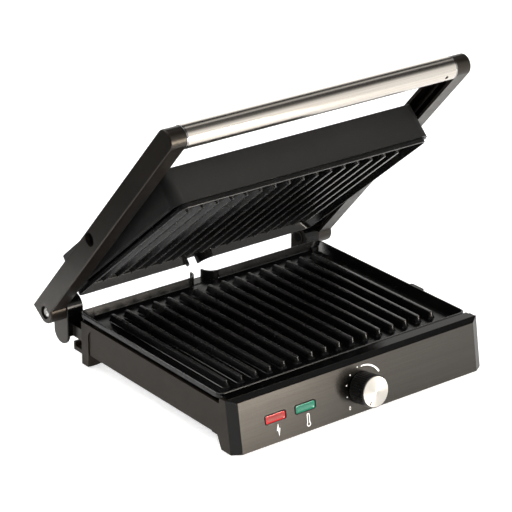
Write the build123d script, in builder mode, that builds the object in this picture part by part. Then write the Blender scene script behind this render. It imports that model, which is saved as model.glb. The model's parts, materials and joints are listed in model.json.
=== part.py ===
"""Contact grill (panini press): ribbed plates, a lid on two arms, and a tube handle.

Millimetres, +Z up, +X to the right as seen from the front, front facing -Y.
Y is counted from the foot of the front panel while a piece is drawn. Every piece of
the lid is drawn with the lid closed, and is then turned open about the hinge line.
"""
from build123d import *
from math import acos, atan, atan2, cos, degrees, hypot, radians, sin
import os

os.makedirs("parts", exist_ok=True)

# ---- the whole object ----
CENTRE_Y = 136.0          # middle of the object, front to back, which becomes Y = 0
OPEN_ANGLE = 40.0         # how far the lid stands open at rest
RUNNING = 0.05            # radial clearance of a turning shaft
GAP = 0.3                 # gap between loose neighbours

# ---- base ----
BASE_HALF = 149.8         # half width over the side walls
BASE_REAR = 242.5
BASE_WALL = 2.7
LEG_FOOT = 1.2            # height of the legs' undersides; the rubber feet fill the rest
SKIRT_Z = 13.8            # lower edge of the walls between the legs
BASE_TOP = 45.8
REAR_WALL_TOP = 40.5      # the plate passes over the rear wall
LEG_WIDTH = 16.0
FRONT_LEG = (20.0, 26.0)  # rear face of the front leg, at its foot and at the skirt
REAR_LEG = 231.0          # front face of the rear leg
PILASTER_REAR = 22.4      # the front end of each side wall stands taller up to here
PILASTER_TOP = 51.4
COVER_Z = 14.2            # underside of the bottom cover
COVER_THICK = 1.4

# ---- front panel ----
LEAN = 9.3                # degrees the front panel leans back
FACET_DEPTH = 5.6
FACET_WIDTH = 9.35
FRAME_HALF = 150.0
FRAME_TOP = 52.3
FRAME_REAR = 24.4
PANEL_THICK = 0.8
PANEL_TOP = 49.0
KNOB_Z = 24.5
LENS_SIZE = (22.7, 8.0)
LENS_Z = 24.8
RED_X = -101.0
GREEN_X = -66.8

# ---- knob ----
KNOB_R = 15.5
KNOB_LENGTH = 19.2
KNOB_STANDOFF = 0.5
KNOB_GROOVES = 40
KNOB_CAP_R = 14.7
KNOB_OFF_ANGLE = -128.0    # where the pointer stands when the grill is off
SHAFT_R = 3.0

# ---- grill plates ----
LOWER_RIM_Z = 53.0
UPPER_RIM_Z = 53.4
PLATE_DEPTH = 8.3
PLATE_WALL = 3.0
RIM_SKIRT = 4.8
RIB_COUNT = 16
RIB_PITCH = 16.4
RIB_BASE = 8.0
RIB_CREST = 3.0
RIB_HEIGHT = 6.3
RIB_FRONT = 45.0
RIB_REAR = 231.0
SPOUT_THROAT = 5.5        # half width of the spout where the fat leaves it
SPOUT_CURVE = 13.0        # radius of the cheeks that lead into it
SPOUT_WALL = 2.0
SPOUT_SHOULDER = 3.0       # where the cheeks' outer faces turn
SPOUT_INSIDE = 7.0         # the cut through the sloping rear wall
LOWER_PLATE = dict(half=147.6, front=25.2, rear=250.0)
UPPER_PLATE = dict(half=143.0, front=24.4, rear=252.3)

# ---- hinge and arms ----
HINGE_Y = 269.4
HINGE_Z = 51.3
HINGE_PIN_R = 5.0
KNUCKLE_R = 12.2
KNUCKLE_DROP = 24.6       # from the hinge line to the centre of the knuckle's lower round
KNUCKLE_INNER = 137.4
KNUCKLE_OUTER = 155.5
ARM_RISE = 9.4            # degrees the arms climb towards the handle when closed
ARM_INNER = 156.0
ARM_OUTER = 173.0
ARM_REACH = 307.0         # hinge line to handle
ARM_FACE = 2.7
ARM_CORNER = (-12.6, 16.7)
ARM_BOSS_R = 11.0
HANDLE_R = 11.0
HANDLE_HALF = 154.2
HANDLE_WALL = 1.0

ARM_END_R = 10.6
HINGE_CAP_X = 170.2
BRACKET_SCREW = (143.6, 31.0)

# ---- head, the part that hangs between the arms ----
HEAD_PIVOT = (130.3, 5.6)  # along and across the arm, from the hinge line
HEAD_PIN_R = 4.0
HEAD_BORE_R = 6.8          # recess in the arm's outer face, round the pin's head
HEAD_BORE_X = 167.0
HEAD_HALF = 149.4
HEAD_FRONT = (23.2, 26.0)  # front face, at the lower edge and at the top
HEAD_REAR = 241.0
HEAD_LOW = 58.6
HEAD_TOP = 93.8
HEAD_WALL = 2.6
HEAD_CORNER = 11.0
HEAD_LIP = 151.0
HEAD_POSTS = [(x, y) for x in (-132.0, 132.0) for y in (46.0, 222.0)]

# ---- plate releases ----
RELEASE_Y = 108.0
RELEASE_WIDTH = 19.0

# ---- heating and wiring ----
ELEMENT_R = 3.3
CORD_EXIT = (62.0, 25.0)   # across and up, on the rear wall

HINGE_LINE = Axis((0, HINGE_Y, HINGE_Z), (1, 0, 0))
SIDES = {"left": -1, "right": 1}

# The front panel's own plane: its X runs across, its Y up the panel, its Z out of it.
PANEL = Plane(origin=(0, 0, LEG_FOOT), x_dir=(1, 0, 0), z_dir=(0, -cos(radians(LEAN)), sin(radians(LEAN))))


def up_panel(height):
    """Distance up the leaning panel at which it reaches this height."""
    return (height - LEG_FOOT) / cos(radians(LEAN))


def panel_y(height, depth=0.0):
    """Y of a surface this deep behind the panel's face, at this height."""
    return (height - LEG_FOOT) * sin(radians(LEAN)) / cos(radians(LEAN)) + depth / cos(radians(LEAN))


def arm_point(along, across):
    """Point in the closed arm's own directions, as (Y, Z)."""
    rise = radians(ARM_RISE)
    return (
        HINGE_Y - along * cos(rise) + across * sin(rise),
        HINGE_Z + along * sin(rise) + across * cos(rise),
    )


def write(piece, name, lid=False):
    """Label a finished piece, open it if it belongs to the lid, and write it."""
    piece.part.label = name
    placed = piece.part.rotate(HINGE_LINE, -OPEN_ANGLE) if lid else piece.part
    placed = placed.translate((0, -CENTRE_Y, 0))
    placed.label = name
    export_step(placed, f"parts/{name}.step")


def box(low, high, mode=Mode.ADD):
    """A box between two corners, in the open BuildPart."""
    size = [b - a for a, b in zip(low, high)]
    with Locations([tuple((a + b) / 2 for a, b in zip(low, high))]):
        Box(*size, mode=mode)


def bar_x(radius, start, end, y, z, mode=Mode.ADD):
    """A round bar along X, in the open BuildPart."""
    with BuildSketch(Plane.YZ.offset(start)) as round_section:
        with Locations((y, z)):
            Circle(radius)
    extrude(round_section.sketch, amount=end - start, mode=mode)


# ======================= base =======================

with BuildPart() as base_housing:
    side_outline = [
        (panel_y(LEG_FOOT, FACET_DEPTH), LEG_FOOT),
        (panel_y(PILASTER_TOP, FACET_DEPTH), PILASTER_TOP),
        (PILASTER_REAR, PILASTER_TOP),
        (PILASTER_REAR + 1.0, BASE_TOP),
        (BASE_REAR, BASE_TOP),
        (BASE_REAR, LEG_FOOT),
        (REAR_LEG + 1.0, LEG_FOOT),
        (REAR_LEG, SKIRT_Z),
        (FRONT_LEG[1], SKIRT_Z),
        (FRONT_LEG[0], LEG_FOOT),
    ]
    for side in SIDES.values():
        with BuildSketch(Plane.YZ.offset(side * BASE_HALF)):
            with BuildLine():
                Polyline(*side_outline, close=True)
            make_face()
        extrude(amount=-side * BASE_WALL)
    box((-BASE_HALF, BASE_REAR - BASE_WALL, SKIRT_Z), (BASE_HALF, BASE_REAR, REAR_WALL_TOP))
    # Each side wall is dished between its two ends, with rounded upper corners.
    for side in SIDES.values():
        with BuildSketch(Plane.YZ.offset(side * BASE_HALF)):
            with Locations(((34.0 + REAR_LEG) / 2, 22.0)):
                RectangleRounded(REAR_LEG - 34.0, 38.0, 8.0)
        extrude(amount=-side * 1.1, mode=Mode.SUBTRACT)
    # Legs: solid blocks under the corners, joined to the walls.
    inner = BASE_HALF - LEG_WIDTH
    for side in SIDES.values():
        low_x, high_x = sorted((side * inner, side * (BASE_HALF - BASE_WALL)))
        box((low_x, REAR_LEG + 1.0, LEG_FOOT), (high_x, BASE_REAR, SKIRT_Z))
        box((low_x, 13.2, LEG_FOOT), (high_x, FRONT_LEG[0], SKIRT_Z))
    # Screw posts for the bottom cover, tied to the walls.
    cover_posts = [(x, y) for x in (-141.0, 141.0) for y in (40.0, 136.0, 224.0)]
    with BuildSketch(Plane.XY.offset(COVER_Z + COVER_THICK)):
        with Locations(*cover_posts):
            Circle(4.5)
        for x, y in cover_posts:
            with Locations((x + (4.0 if x > 0 else -4.0), y)):
                Rectangle(6.0, 3.0)
    extrude(amount=16.0)
    with BuildSketch(Plane.XY.offset(COVER_Z + COVER_THICK)):
        with Locations(*cover_posts):
            Circle(1.5 + RUNNING)
    extrude(amount=10.0, mode=Mode.SUBTRACT)
    # Cord entry and the two hinge brackets' screw holes in the rear wall.
    with BuildSketch(Plane.XZ.offset(-BASE_REAR)):
        with Locations(CORD_EXIT):
            Circle(6.2)
        with Locations(*[(side * BRACKET_SCREW[0], BRACKET_SCREW[1]) for side in SIDES.values()]):
            Circle(1.8 + RUNNING)
    extrude(amount=BASE_WALL + 1.0, mode=Mode.SUBTRACT)
    # Slot for the lower plate's release, and cooling slots in the rear wall.
    box((BASE_HALF - 4.0, RELEASE_Y - RELEASE_WIDTH / 2 - GAP, 35.4),
        (BASE_HALF + 1.0, RELEASE_Y + RELEASE_WIDTH / 2 + GAP, 40.6), mode=Mode.SUBTRACT)
    with BuildSketch(Plane.XZ.offset(-BASE_REAR)):
        with Locations((-40.0, 27.0)):
            with GridLocations(8.0, 0, 12, 1):
                SlotOverall(14.0, 3.0, rotation=90)
    extrude(amount=BASE_WALL + 1.0, mode=Mode.SUBTRACT)
write(base_housing, "base_housing")

with BuildPart() as front_frame:
    # The bevelled face is a loft from the panel's outline to the full outline behind it.
    drop = FACET_DEPTH * sin(radians(LEAN)) / cos(radians(LEAN))
    with BuildSketch(PANEL):
        with Locations((0, up_panel(PANEL_TOP) / 2)):
            Rectangle(2 * (FRAME_HALF - FACET_WIDTH), up_panel(PANEL_TOP))
    with BuildSketch(PANEL.offset(-FACET_DEPTH)):
        with Locations((0, (up_panel(FRAME_TOP) + 2 * drop) / 2)):
            Rectangle(2 * FRAME_HALF, up_panel(FRAME_TOP))
    loft()
    # Behind the bevel the frame is a box between the side walls, open at the back.
    with BuildSketch(Plane.YZ.offset(-BASE_HALF + BASE_WALL + GAP)):
        with BuildLine():
            Polyline(
                (panel_y(LEG_FOOT, FACET_DEPTH - 0.2), LEG_FOOT),
                (panel_y(FRAME_TOP, FACET_DEPTH - 0.2), FRAME_TOP),
                (FRAME_REAR, FRAME_TOP),
                (FRAME_REAR, FRAME_TOP - 4.0),
                (panel_y(FRAME_TOP - 4.0, FACET_DEPTH + 3.0), FRAME_TOP - 4.0),
                (panel_y(LEG_FOOT, FACET_DEPTH + 3.0), LEG_FOOT),
                close=True,
            )
        make_face()
    extrude(amount=2 * (BASE_HALF - BASE_WALL - GAP))
    # Seat for the steel panel, then the holes for the shaft and the two lenses.
    with BuildSketch(PANEL):
        with Locations((0, up_panel(PANEL_TOP) / 2)):
            Rectangle(2 * (FRAME_HALF - FACET_WIDTH) + 0.1, up_panel(PANEL_TOP) + 0.1)
    extrude(amount=-PANEL_THICK, mode=Mode.SUBTRACT)
    with BuildSketch(PANEL):
        with Locations((0, up_panel(KNOB_Z))):
            Circle(5.0)
        with Locations(*[(x, up_panel(LENS_Z)) for x in (RED_X, GREEN_X)]):
            RectangleRounded(LENS_SIZE[0], LENS_SIZE[1], 1.6)
    extrude(amount=-20.0, mode=Mode.SUBTRACT)
    # Hollow the thick front from behind, leaving a wall.
    with BuildSketch(PANEL.offset(-FACET_DEPTH - 4.0)):
        for x0, x1 in ((-140.0, -116.0), (-52.0, -18.0), (18.0, 140.0)):
            with Locations(((x0 + x1) / 2, 26.0)):
                Rectangle(x1 - x0, 38.0)
    extrude(amount=5.4, mode=Mode.SUBTRACT)
write(front_frame, "front_frame")

with BuildPart() as fascia_panel:
    with BuildSketch(PANEL):
        with Locations((0, up_panel(PANEL_TOP) / 2)):
            Rectangle(2 * (FRAME_HALF - FACET_WIDTH), up_panel(PANEL_TOP))
    extrude(amount=-PANEL_THICK)
    with BuildSketch(PANEL):
        with Locations((0, up_panel(KNOB_Z))):
            Circle(5.0)
        with Locations(*[(x, up_panel(LENS_Z)) for x in (RED_X, GREEN_X)]):
            RectangleRounded(LENS_SIZE[0], LENS_SIZE[1], 1.6)
    extrude(amount=-PANEL_THICK, mode=Mode.SUBTRACT)
write(fascia_panel, "fascia_panel")


def make_lens(x):
    """A moulded lens: rounded window, flange behind the frame."""
    with BuildPart() as lens:
        with BuildSketch(PANEL.offset(0.5)):
            with Locations((x, up_panel(LENS_Z))):
                RectangleRounded(LENS_SIZE[0] - 0.4, LENS_SIZE[1] - 0.4, 1.4)
        extrude(amount=-9.2)
        fillet(lens.faces().sort_by(Axis.Y)[0].edges(), 0.45)
    return lens


write(make_lens(RED_X), "red_lens")
write(make_lens(GREEN_X), "green_lens")

with BuildPart() as indicator_lamps:
    with BuildSketch(PANEL.offset(-9.2)):
        with Locations(*[(x, up_panel(LENS_Z)) for x in (RED_X, GREEN_X)]):
            Circle(2.6)
    extrude(amount=-13.0)
    fillet(indicator_lamps.edges().filter_by(GeomType.CIRCLE), 1.6)
write(indicator_lamps, "indicator_lamps")

with BuildPart() as bottom_cover:
    box((-146.8, 13.4, COVER_Z), (146.8, BASE_REAR - BASE_WALL - GAP, COVER_Z + COVER_THICK - 0.1))
    with BuildSketch(Plane.XY.offset(COVER_Z)):
        with Locations(*cover_posts):
            Circle(1.5 + 2 * RUNNING)
        with Locations((0, 150.0)):
            with GridLocations(14.0, 46.0, 9, 2):
                SlotOverall(36.0, 4.0, rotation=90)
    extrude(amount=COVER_THICK, mode=Mode.SUBTRACT)
write(bottom_cover, "bottom_cover")

with BuildPart() as cover_screws:
    with BuildSketch(Plane.XY.offset(COVER_Z)):
        with Locations(*cover_posts):
            Circle(1.5)
    extrude(amount=10.0)
    with BuildSketch(Plane.XY.offset(COVER_Z)):
        with Locations(*cover_posts):
            Circle(3.0)
    extrude(amount=-1.8)
    fillet(cover_screws.faces().sort_by(Axis.Z)[0:6].edges(), 0.9)
write(cover_screws, "cover_screws")

with BuildPart() as rubber_feet:
    for side in SIDES.values():
        with BuildSketch(Plane.XY):
            with Locations((side * (BASE_HALF - 8.5), 16.6)):
                RectangleRounded(12.0, 6.0, 2.0)
            with Locations((side * (BASE_HALF - 8.5), 237.2)):
                RectangleRounded(12.0, 8.0, 2.0)
        extrude(amount=LEG_FOOT)
write(rubber_feet, "rubber_feet")

with BuildPart() as plate_support:
    # Ledge inside the walls that the lower plate rests on.
    box((-146.6, 26.0, 37.0), (146.6, 239.0, 40.0))
    box((-132.0, 44.0, 36.0), (132.0, 226.0, 41.0), mode=Mode.SUBTRACT)
    box((120.0, RELEASE_Y - 12.0, 36.0), (148.0, RELEASE_Y + 12.0, 41.0), mode=Mode.SUBTRACT)
write(plate_support, "plate_support")


def make_plate(half, front, rear):
    """A die-cast tray of ribs, drawn with its rim at Z = 0 and its hollow upwards."""
    middle = (front + rear) / 2
    length = rear - front
    with BuildPart() as plate:
        with BuildSketch(Plane.XY.offset(-RIM_SKIRT)):
            with Locations((0, middle)):
                RectangleRounded(2 * half, length, 6.5)
        extrude(amount=RIM_SKIRT)
        with BuildSketch(Plane.XY.offset(-RIM_SKIRT)):
            with Locations((0, middle)):
                RectangleRounded(2 * half - 3.0, length - 3.0, 6.5)
        with BuildSketch(Plane.XY.offset(-PLATE_DEPTH - PLATE_WALL)):
            with Locations((0, middle + 1.6)):
                RectangleRounded(2 * half - 14.0, length - 12.0, 6.5)
        loft()
        with BuildSketch(Plane.XY):
            with Locations((0, middle)):
                RectangleRounded(2 * half - 3.2, length - 3.2, 5.4)
        with BuildSketch(Plane.XY.offset(-PLATE_DEPTH)):
            with Locations((0, middle + 2.2)):
                RectangleRounded(2 * half - 17.0, length - 11.4, 5.4)
        loft(mode=Mode.SUBTRACT)
        # Ribs: slots with sloping flanks and rounded ends.
        with BuildSketch(Plane.XY.offset(-PLATE_DEPTH)):
            with Locations((0, (RIB_FRONT + RIB_REAR) / 2)):
                with GridLocations(RIB_PITCH, 0, RIB_COUNT, 1):
                    SlotOverall(RIB_REAR - RIB_FRONT, RIB_BASE, rotation=90)
        extrude(amount=RIB_HEIGHT, taper=degrees(atan((RIB_BASE - RIB_CREST) / 2 / RIB_HEIGHT)))
        # Drain spout at the middle of the rear rim: its cheeks curve in to a narrow throat.
        mouth = rear - SPOUT_WALL
        outlet = mouth + SPOUT_CURVE
        wide = SPOUT_THROAT + SPOUT_CURVE
        lip = SPOUT_THROAT + SPOUT_WALL
        bend = SPOUT_CURVE * (1 - cos(radians(45)))
        with BuildSketch(Plane.XY.offset(-PLATE_DEPTH - PLATE_WALL + 0.2)):
            with BuildLine():
                Polyline(
                    (wide, mouth),
                    (wide, rear),
                    (lip + SPOUT_SHOULDER, rear + SPOUT_WALL),
                    (lip, outlet - SPOUT_SHOULDER),
                    (lip, outlet),
                    (-lip, outlet),
                    (-lip, outlet - SPOUT_SHOULDER),
                    (-lip - SPOUT_SHOULDER, rear + SPOUT_WALL),
                    (-wide, rear),
                    (-wide, mouth),
                    close=True,
                )
            make_face()
        extrude(amount=PLATE_DEPTH + PLATE_WALL - 0.2)
        with BuildSketch(Plane.XY.offset(-PLATE_DEPTH + 0.01)):
            with BuildLine():
                Line((-wide, mouth - SPOUT_INSIDE), (wide, mouth - SPOUT_INSIDE))
                Line((wide, mouth - SPOUT_INSIDE), (wide, mouth))
                ThreePointArc((wide, mouth), (SPOUT_THROAT + bend, mouth + bend), (SPOUT_THROAT, outlet))
                Line((SPOUT_THROAT, outlet), (SPOUT_THROAT, outlet + 1.0))
                Line((SPOUT_THROAT, outlet + 1.0), (-SPOUT_THROAT, outlet + 1.0))
                Line((-SPOUT_THROAT, outlet + 1.0), (-SPOUT_THROAT, outlet))
                ThreePointArc((-SPOUT_THROAT, outlet), (-SPOUT_THROAT - bend, mouth + bend), (-wide, mouth))
                Line((-wide, mouth), (-wide, mouth - SPOUT_INSIDE))
            make_face()
        extrude(amount=PLATE_DEPTH + 1.0, mode=Mode.SUBTRACT)
        # Catches under the floor: two fixed lugs on the left, one latch lug on the right.
        lug_top = -PLATE_DEPTH - PLATE_WALL
        for x, y in ((-122.0, 70.0), (-122.0, 206.0), (122.0, RELEASE_Y)):
            box((x - 3.0, y - 7.0, lug_top - 4.5), (x + 3.0, y + 7.0, lug_top + 0.5))
    return plate


lower_plate = make_plate(**LOWER_PLATE)
lower_plate.part = lower_plate.part.translate((0, 0, LOWER_RIM_Z))
write(lower_plate, "lower_plate")

upper_plate = make_plate(**UPPER_PLATE)
upper_plate.part = mirror(upper_plate.part, about=Plane.XY).translate((0, 0, UPPER_RIM_Z))
write(upper_plate, "upper_plate", lid=True)


# ---- heating, wiring and controls inside the base ----


def make_element(z):
    """A bent tubular heating element, lying level."""
    with BuildPart() as element:
        with BuildLine(Plane.XY.offset(z)):
            route = FilletPolyline((110, 66), (-110, 66), (-110, 204), (110, 204), radius=32)
        with BuildSketch(Plane(origin=route @ 0, z_dir=route % 0)):
            Circle(ELEMENT_R)
        sweep()
    return element


def make_reflector(floor_z, rise, foot_z):
    """A sheet tray that throws the heat back at the plate, on four folded feet."""
    low, high = sorted((floor_z, floor_z + rise))
    inner_low, inner_high = (low + 0.8, high + 1.0) if rise > 0 else (low - 1.0, high - 0.8)
    with BuildPart() as tray:
        box((-116.0, 56.0, low), (116.0, 214.0, high))
        box((-115.2, 56.8, inner_low), (115.2, 213.2, inner_high), mode=Mode.SUBTRACT)
        foot_low, foot_high = sorted((floor_z, foot_z))
        for x in (-100.0, 100.0):
            for y in (72.0, 198.0):
                box((x - 7.0, y - 0.6, foot_low), (x + 7.0, y + 0.6, foot_high))
    return tray


write(make_element(LOWER_RIM_Z - PLATE_DEPTH - PLATE_WALL - ELEMENT_R - 0.8), "lower_element")
write(make_reflector(24.0, 9.0, COVER_Z + COVER_THICK), "lower_reflector")

with BuildPart() as thermostat:
    with BuildSketch(PANEL.offset(-8.9)):
        with Locations((0, up_panel(KNOB_Z) + 3.4)):
            RectangleRounded(30.0, 12.8, 2.0)
    extrude(amount=-21.0)
    with BuildSketch(PANEL.offset(-0.9)):
        with Locations((0, up_panel(KNOB_Z))):
            Circle(4.8)
    extrude(amount=-8.2)
    with BuildSketch(PANEL.offset(-0.9)):
        with Locations((0, up_panel(KNOB_Z))):
            Circle(SHAFT_R + RUNNING)
    extrude(amount=-16.0, mode=Mode.SUBTRACT)
write(thermostat, "thermostat")

with BuildPart() as terminal_block:
    box((44.0, 219.0, COVER_Z + COVER_THICK), (80.0, 233.0, COVER_Z + COVER_THICK + 10.0))
    with BuildSketch(Plane.XY.offset(COVER_Z + COVER_THICK + 10.0)):
        with Locations((62.0, 226.0)):
            with GridLocations(11.0, 0, 3, 1):
                Circle(2.4)
    extrude(amount=-6.0, mode=Mode.SUBTRACT)
write(terminal_block, "terminal_block")

with BuildPart() as cord_gland:
    # Flange against the rear wall, neck through it, and a tapered boot behind.
    with BuildSketch(Plane.XZ.offset(-BASE_REAR)):
        with Locations(CORD_EXIT):
            Circle(9.0)
    extrude(amount=-2.5)
    with BuildSketch(Plane.XZ.offset(-BASE_REAR)):
        with Locations(CORD_EXIT):
            Circle(6.2 - RUNNING)
    extrude(amount=BASE_WALL)
    with BuildSketch(Plane.XZ.offset(-BASE_REAR - 2.4)):
        with Locations(CORD_EXIT):
            Circle(6.0)
    with BuildSketch(Plane.XZ.offset(-BASE_REAR - 21.0)):
        with Locations(CORD_EXIT):
            Circle(4.6)
    loft()
    with BuildSketch(Plane.XZ.offset(-BASE_REAR + BASE_WALL)):
        with Locations(CORD_EXIT):
            Circle(3.3)
    extrude(amount=-BASE_WALL - 22.0, mode=Mode.SUBTRACT)
write(cord_gland, "cord_gland")

with BuildPart() as cord_cleats:
    for side in SIDES.values():
        low_x, high_x = sorted((side * 134.0, side * 145.0))
        box((low_x, BASE_REAR, 7.0), (high_x, 264.0, 12.0))
        box((low_x, 260.5, 11.0), (high_x, 264.0, 16.0))
        box((low_x, BASE_REAR, 11.0), (high_x, BASE_REAR + 3.0, 16.0))
write(cord_cleats, "cord_cleats")

# ======================= hinge =======================


def make_bracket(side):
    """The fixed knuckle of one hinge, with its web to the rear wall."""
    depth = side * (KNUCKLE_OUTER - KNUCKLE_INNER)
    with BuildPart() as bracket:
        with BuildSketch(Plane.YZ.offset(side * KNUCKLE_INNER)):
            with Locations((HINGE_Y, HINGE_Z - KNUCKLE_DROP / 2)):
                SlotCenterToCenter(KNUCKLE_DROP, 2 * KNUCKLE_R, rotation=90)
        extrude(amount=depth)
        fillet(bracket.faces().sort_by(Axis.X)[-1 if side > 0 else 0].edges(), 1.0)
        low_x, high_x = sorted((side * (KNUCKLE_INNER + 1.0), side * 149.6))
        box((low_x, BASE_REAR, 25.0), (high_x, HINGE_Y - 4.0, 37.0))
        bar_x(7.6, side * (KNUCKLE_INNER - 1.0), side * KNUCKLE_INNER, HINGE_Y, HINGE_Z)
        # The lower front of the knuckle is cored out behind its outer cheek.
        low_x, high_x = sorted((side * (KNUCKLE_INNER - 1.0), side * (KNUCKLE_OUTER - 2.6)))
        box((low_x, HINGE_Y - 20.0, 8.0), (high_x, HINGE_Y + KNUCKLE_R - 3.0, 25.0), mode=Mode.SUBTRACT)
        bar_x(HINGE_PIN_R + RUNNING, side * (KNUCKLE_INNER - 2.0), side * (KNUCKLE_OUTER + 1.0),
              HINGE_Y, HINGE_Z, mode=Mode.SUBTRACT)
        with BuildSketch(Plane.XZ.offset(-BASE_REAR)):
            with Locations((side * BRACKET_SCREW[0], BRACKET_SCREW[1])):
                Circle(1.8 + RUNNING)
        extrude(amount=-12.0, mode=Mode.SUBTRACT)
    return bracket


for name, side in SIDES.items():
    write(make_bracket(side), f"hinge_bracket_{name}")

with BuildPart() as bracket_screws:
    for side in SIDES.values():
        with BuildSketch(Plane.XZ.offset(-BASE_REAR + BASE_WALL)):
            with Locations((side * BRACKET_SCREW[0], BRACKET_SCREW[1])):
                Circle(1.8)
        extrude(amount=-BASE_WALL - 10.0)
        with BuildSketch(Plane.XZ.offset(-BASE_REAR + BASE_WALL)):
            with Locations((side * BRACKET_SCREW[0], BRACKET_SCREW[1])):
                Circle(3.2)
        extrude(amount=2.0)
write(bracket_screws, "bracket_screws")

# ======================= knob =======================

with BuildPart() as knob_skirt:
    with BuildSketch(PANEL.offset(KNOB_STANDOFF)):
        with Locations((0, up_panel(KNOB_Z))):
            Circle(KNOB_R)
            with PolarLocations(KNOB_R + 0.15, KNOB_GROOVES):
                Circle(0.6, mode=Mode.SUBTRACT)
    extrude(amount=KNOB_LENGTH)
    with BuildSketch(PANEL.offset(KNOB_STANDOFF + KNOB_LENGTH)):
        with Locations((0, up_panel(KNOB_Z))):
            Circle(KNOB_CAP_R + RUNNING)
    extrude(amount=-1.0, mode=Mode.SUBTRACT)
    with BuildSketch(PANEL.offset(KNOB_STANDOFF)):
        with Locations((0, up_panel(KNOB_Z))):
            Circle(13.0)
            Circle(6.0, mode=Mode.SUBTRACT)
    extrude(amount=KNOB_LENGTH - 4.0, mode=Mode.SUBTRACT)
    with BuildSketch(PANEL.offset(KNOB_STANDOFF)):
        with Locations((0, up_panel(KNOB_Z))):
            Circle(SHAFT_R + 0.02)
    extrude(amount=KNOB_LENGTH - 4.0, mode=Mode.SUBTRACT)
write(knob_skirt, "knob_skirt")

with BuildPart() as knob_cap:
    with BuildSketch(PANEL.offset(KNOB_STANDOFF + KNOB_LENGTH - 1.0)):
        with Locations((0, up_panel(KNOB_Z))):
            Circle(KNOB_CAP_R)
    extrude(amount=1.5)
    chamfer(knob_cap.faces().sort_by(Axis.Y)[0].edges(), 0.4)
    with BuildSketch(PANEL.offset(KNOB_STANDOFF + KNOB_LENGTH + 0.5)):
        with Locations((0, up_panel(KNOB_Z))):
            with PolarLocations(12.0, 1, start_angle=KNOB_OFF_ANGLE):
                Rectangle(4.4, 1.0)
    extrude(amount=-0.4, mode=Mode.SUBTRACT)
write(knob_cap, "knob_cap")

with BuildPart() as knob_shaft:
    with BuildSketch(PANEL.offset(-12.0)):
        with Locations((0, up_panel(KNOB_Z))):
            Circle(SHAFT_R)
    extrude(amount=12.0 + KNOB_STANDOFF + KNOB_LENGTH - 4.4)
write(knob_shaft, "knob_shaft")

# ======================= plate releases =======================

with BuildPart() as lower_release:
    half = RELEASE_WIDTH / 2
    box((129.5, RELEASE_Y - half, 36.0), (155.0, RELEASE_Y + half, 40.0))
    box((119.0, RELEASE_Y - 6.0, 35.2), (131.0, RELEASE_Y + 6.0, 36.8))
    box((153.2, RELEASE_Y - half, 36.0), (160.0, RELEASE_Y + half, 47.0))
    fillet(lower_release.edges().filter_by(Axis.Z).sort_by(Axis.X)[-2:], 2.5)
    fillet(lower_release.faces().sort_by(Axis.Z)[-1].edges(), 1.2)
write(lower_release, "lower_release")

with BuildPart() as upper_release:
    low = UPPER_RIM_Z + 13.0
    box((129.5, RELEASE_Y - half, low), (154.0, RELEASE_Y + half, low + 4.0))
    box((119.0, RELEASE_Y - 6.0, low + 3.2), (131.0, RELEASE_Y + 6.0, low + 4.8))
    box((152.5, RELEASE_Y - half, 61.0), (155.4, RELEASE_Y + half, low + 4.0))
    fillet(upper_release.edges().filter_by(Axis.Z).sort_by(Axis.X)[-2:], 1.2)
write(upper_release, "upper_release", lid=True)

# ======================= arms and handle =======================


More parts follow.
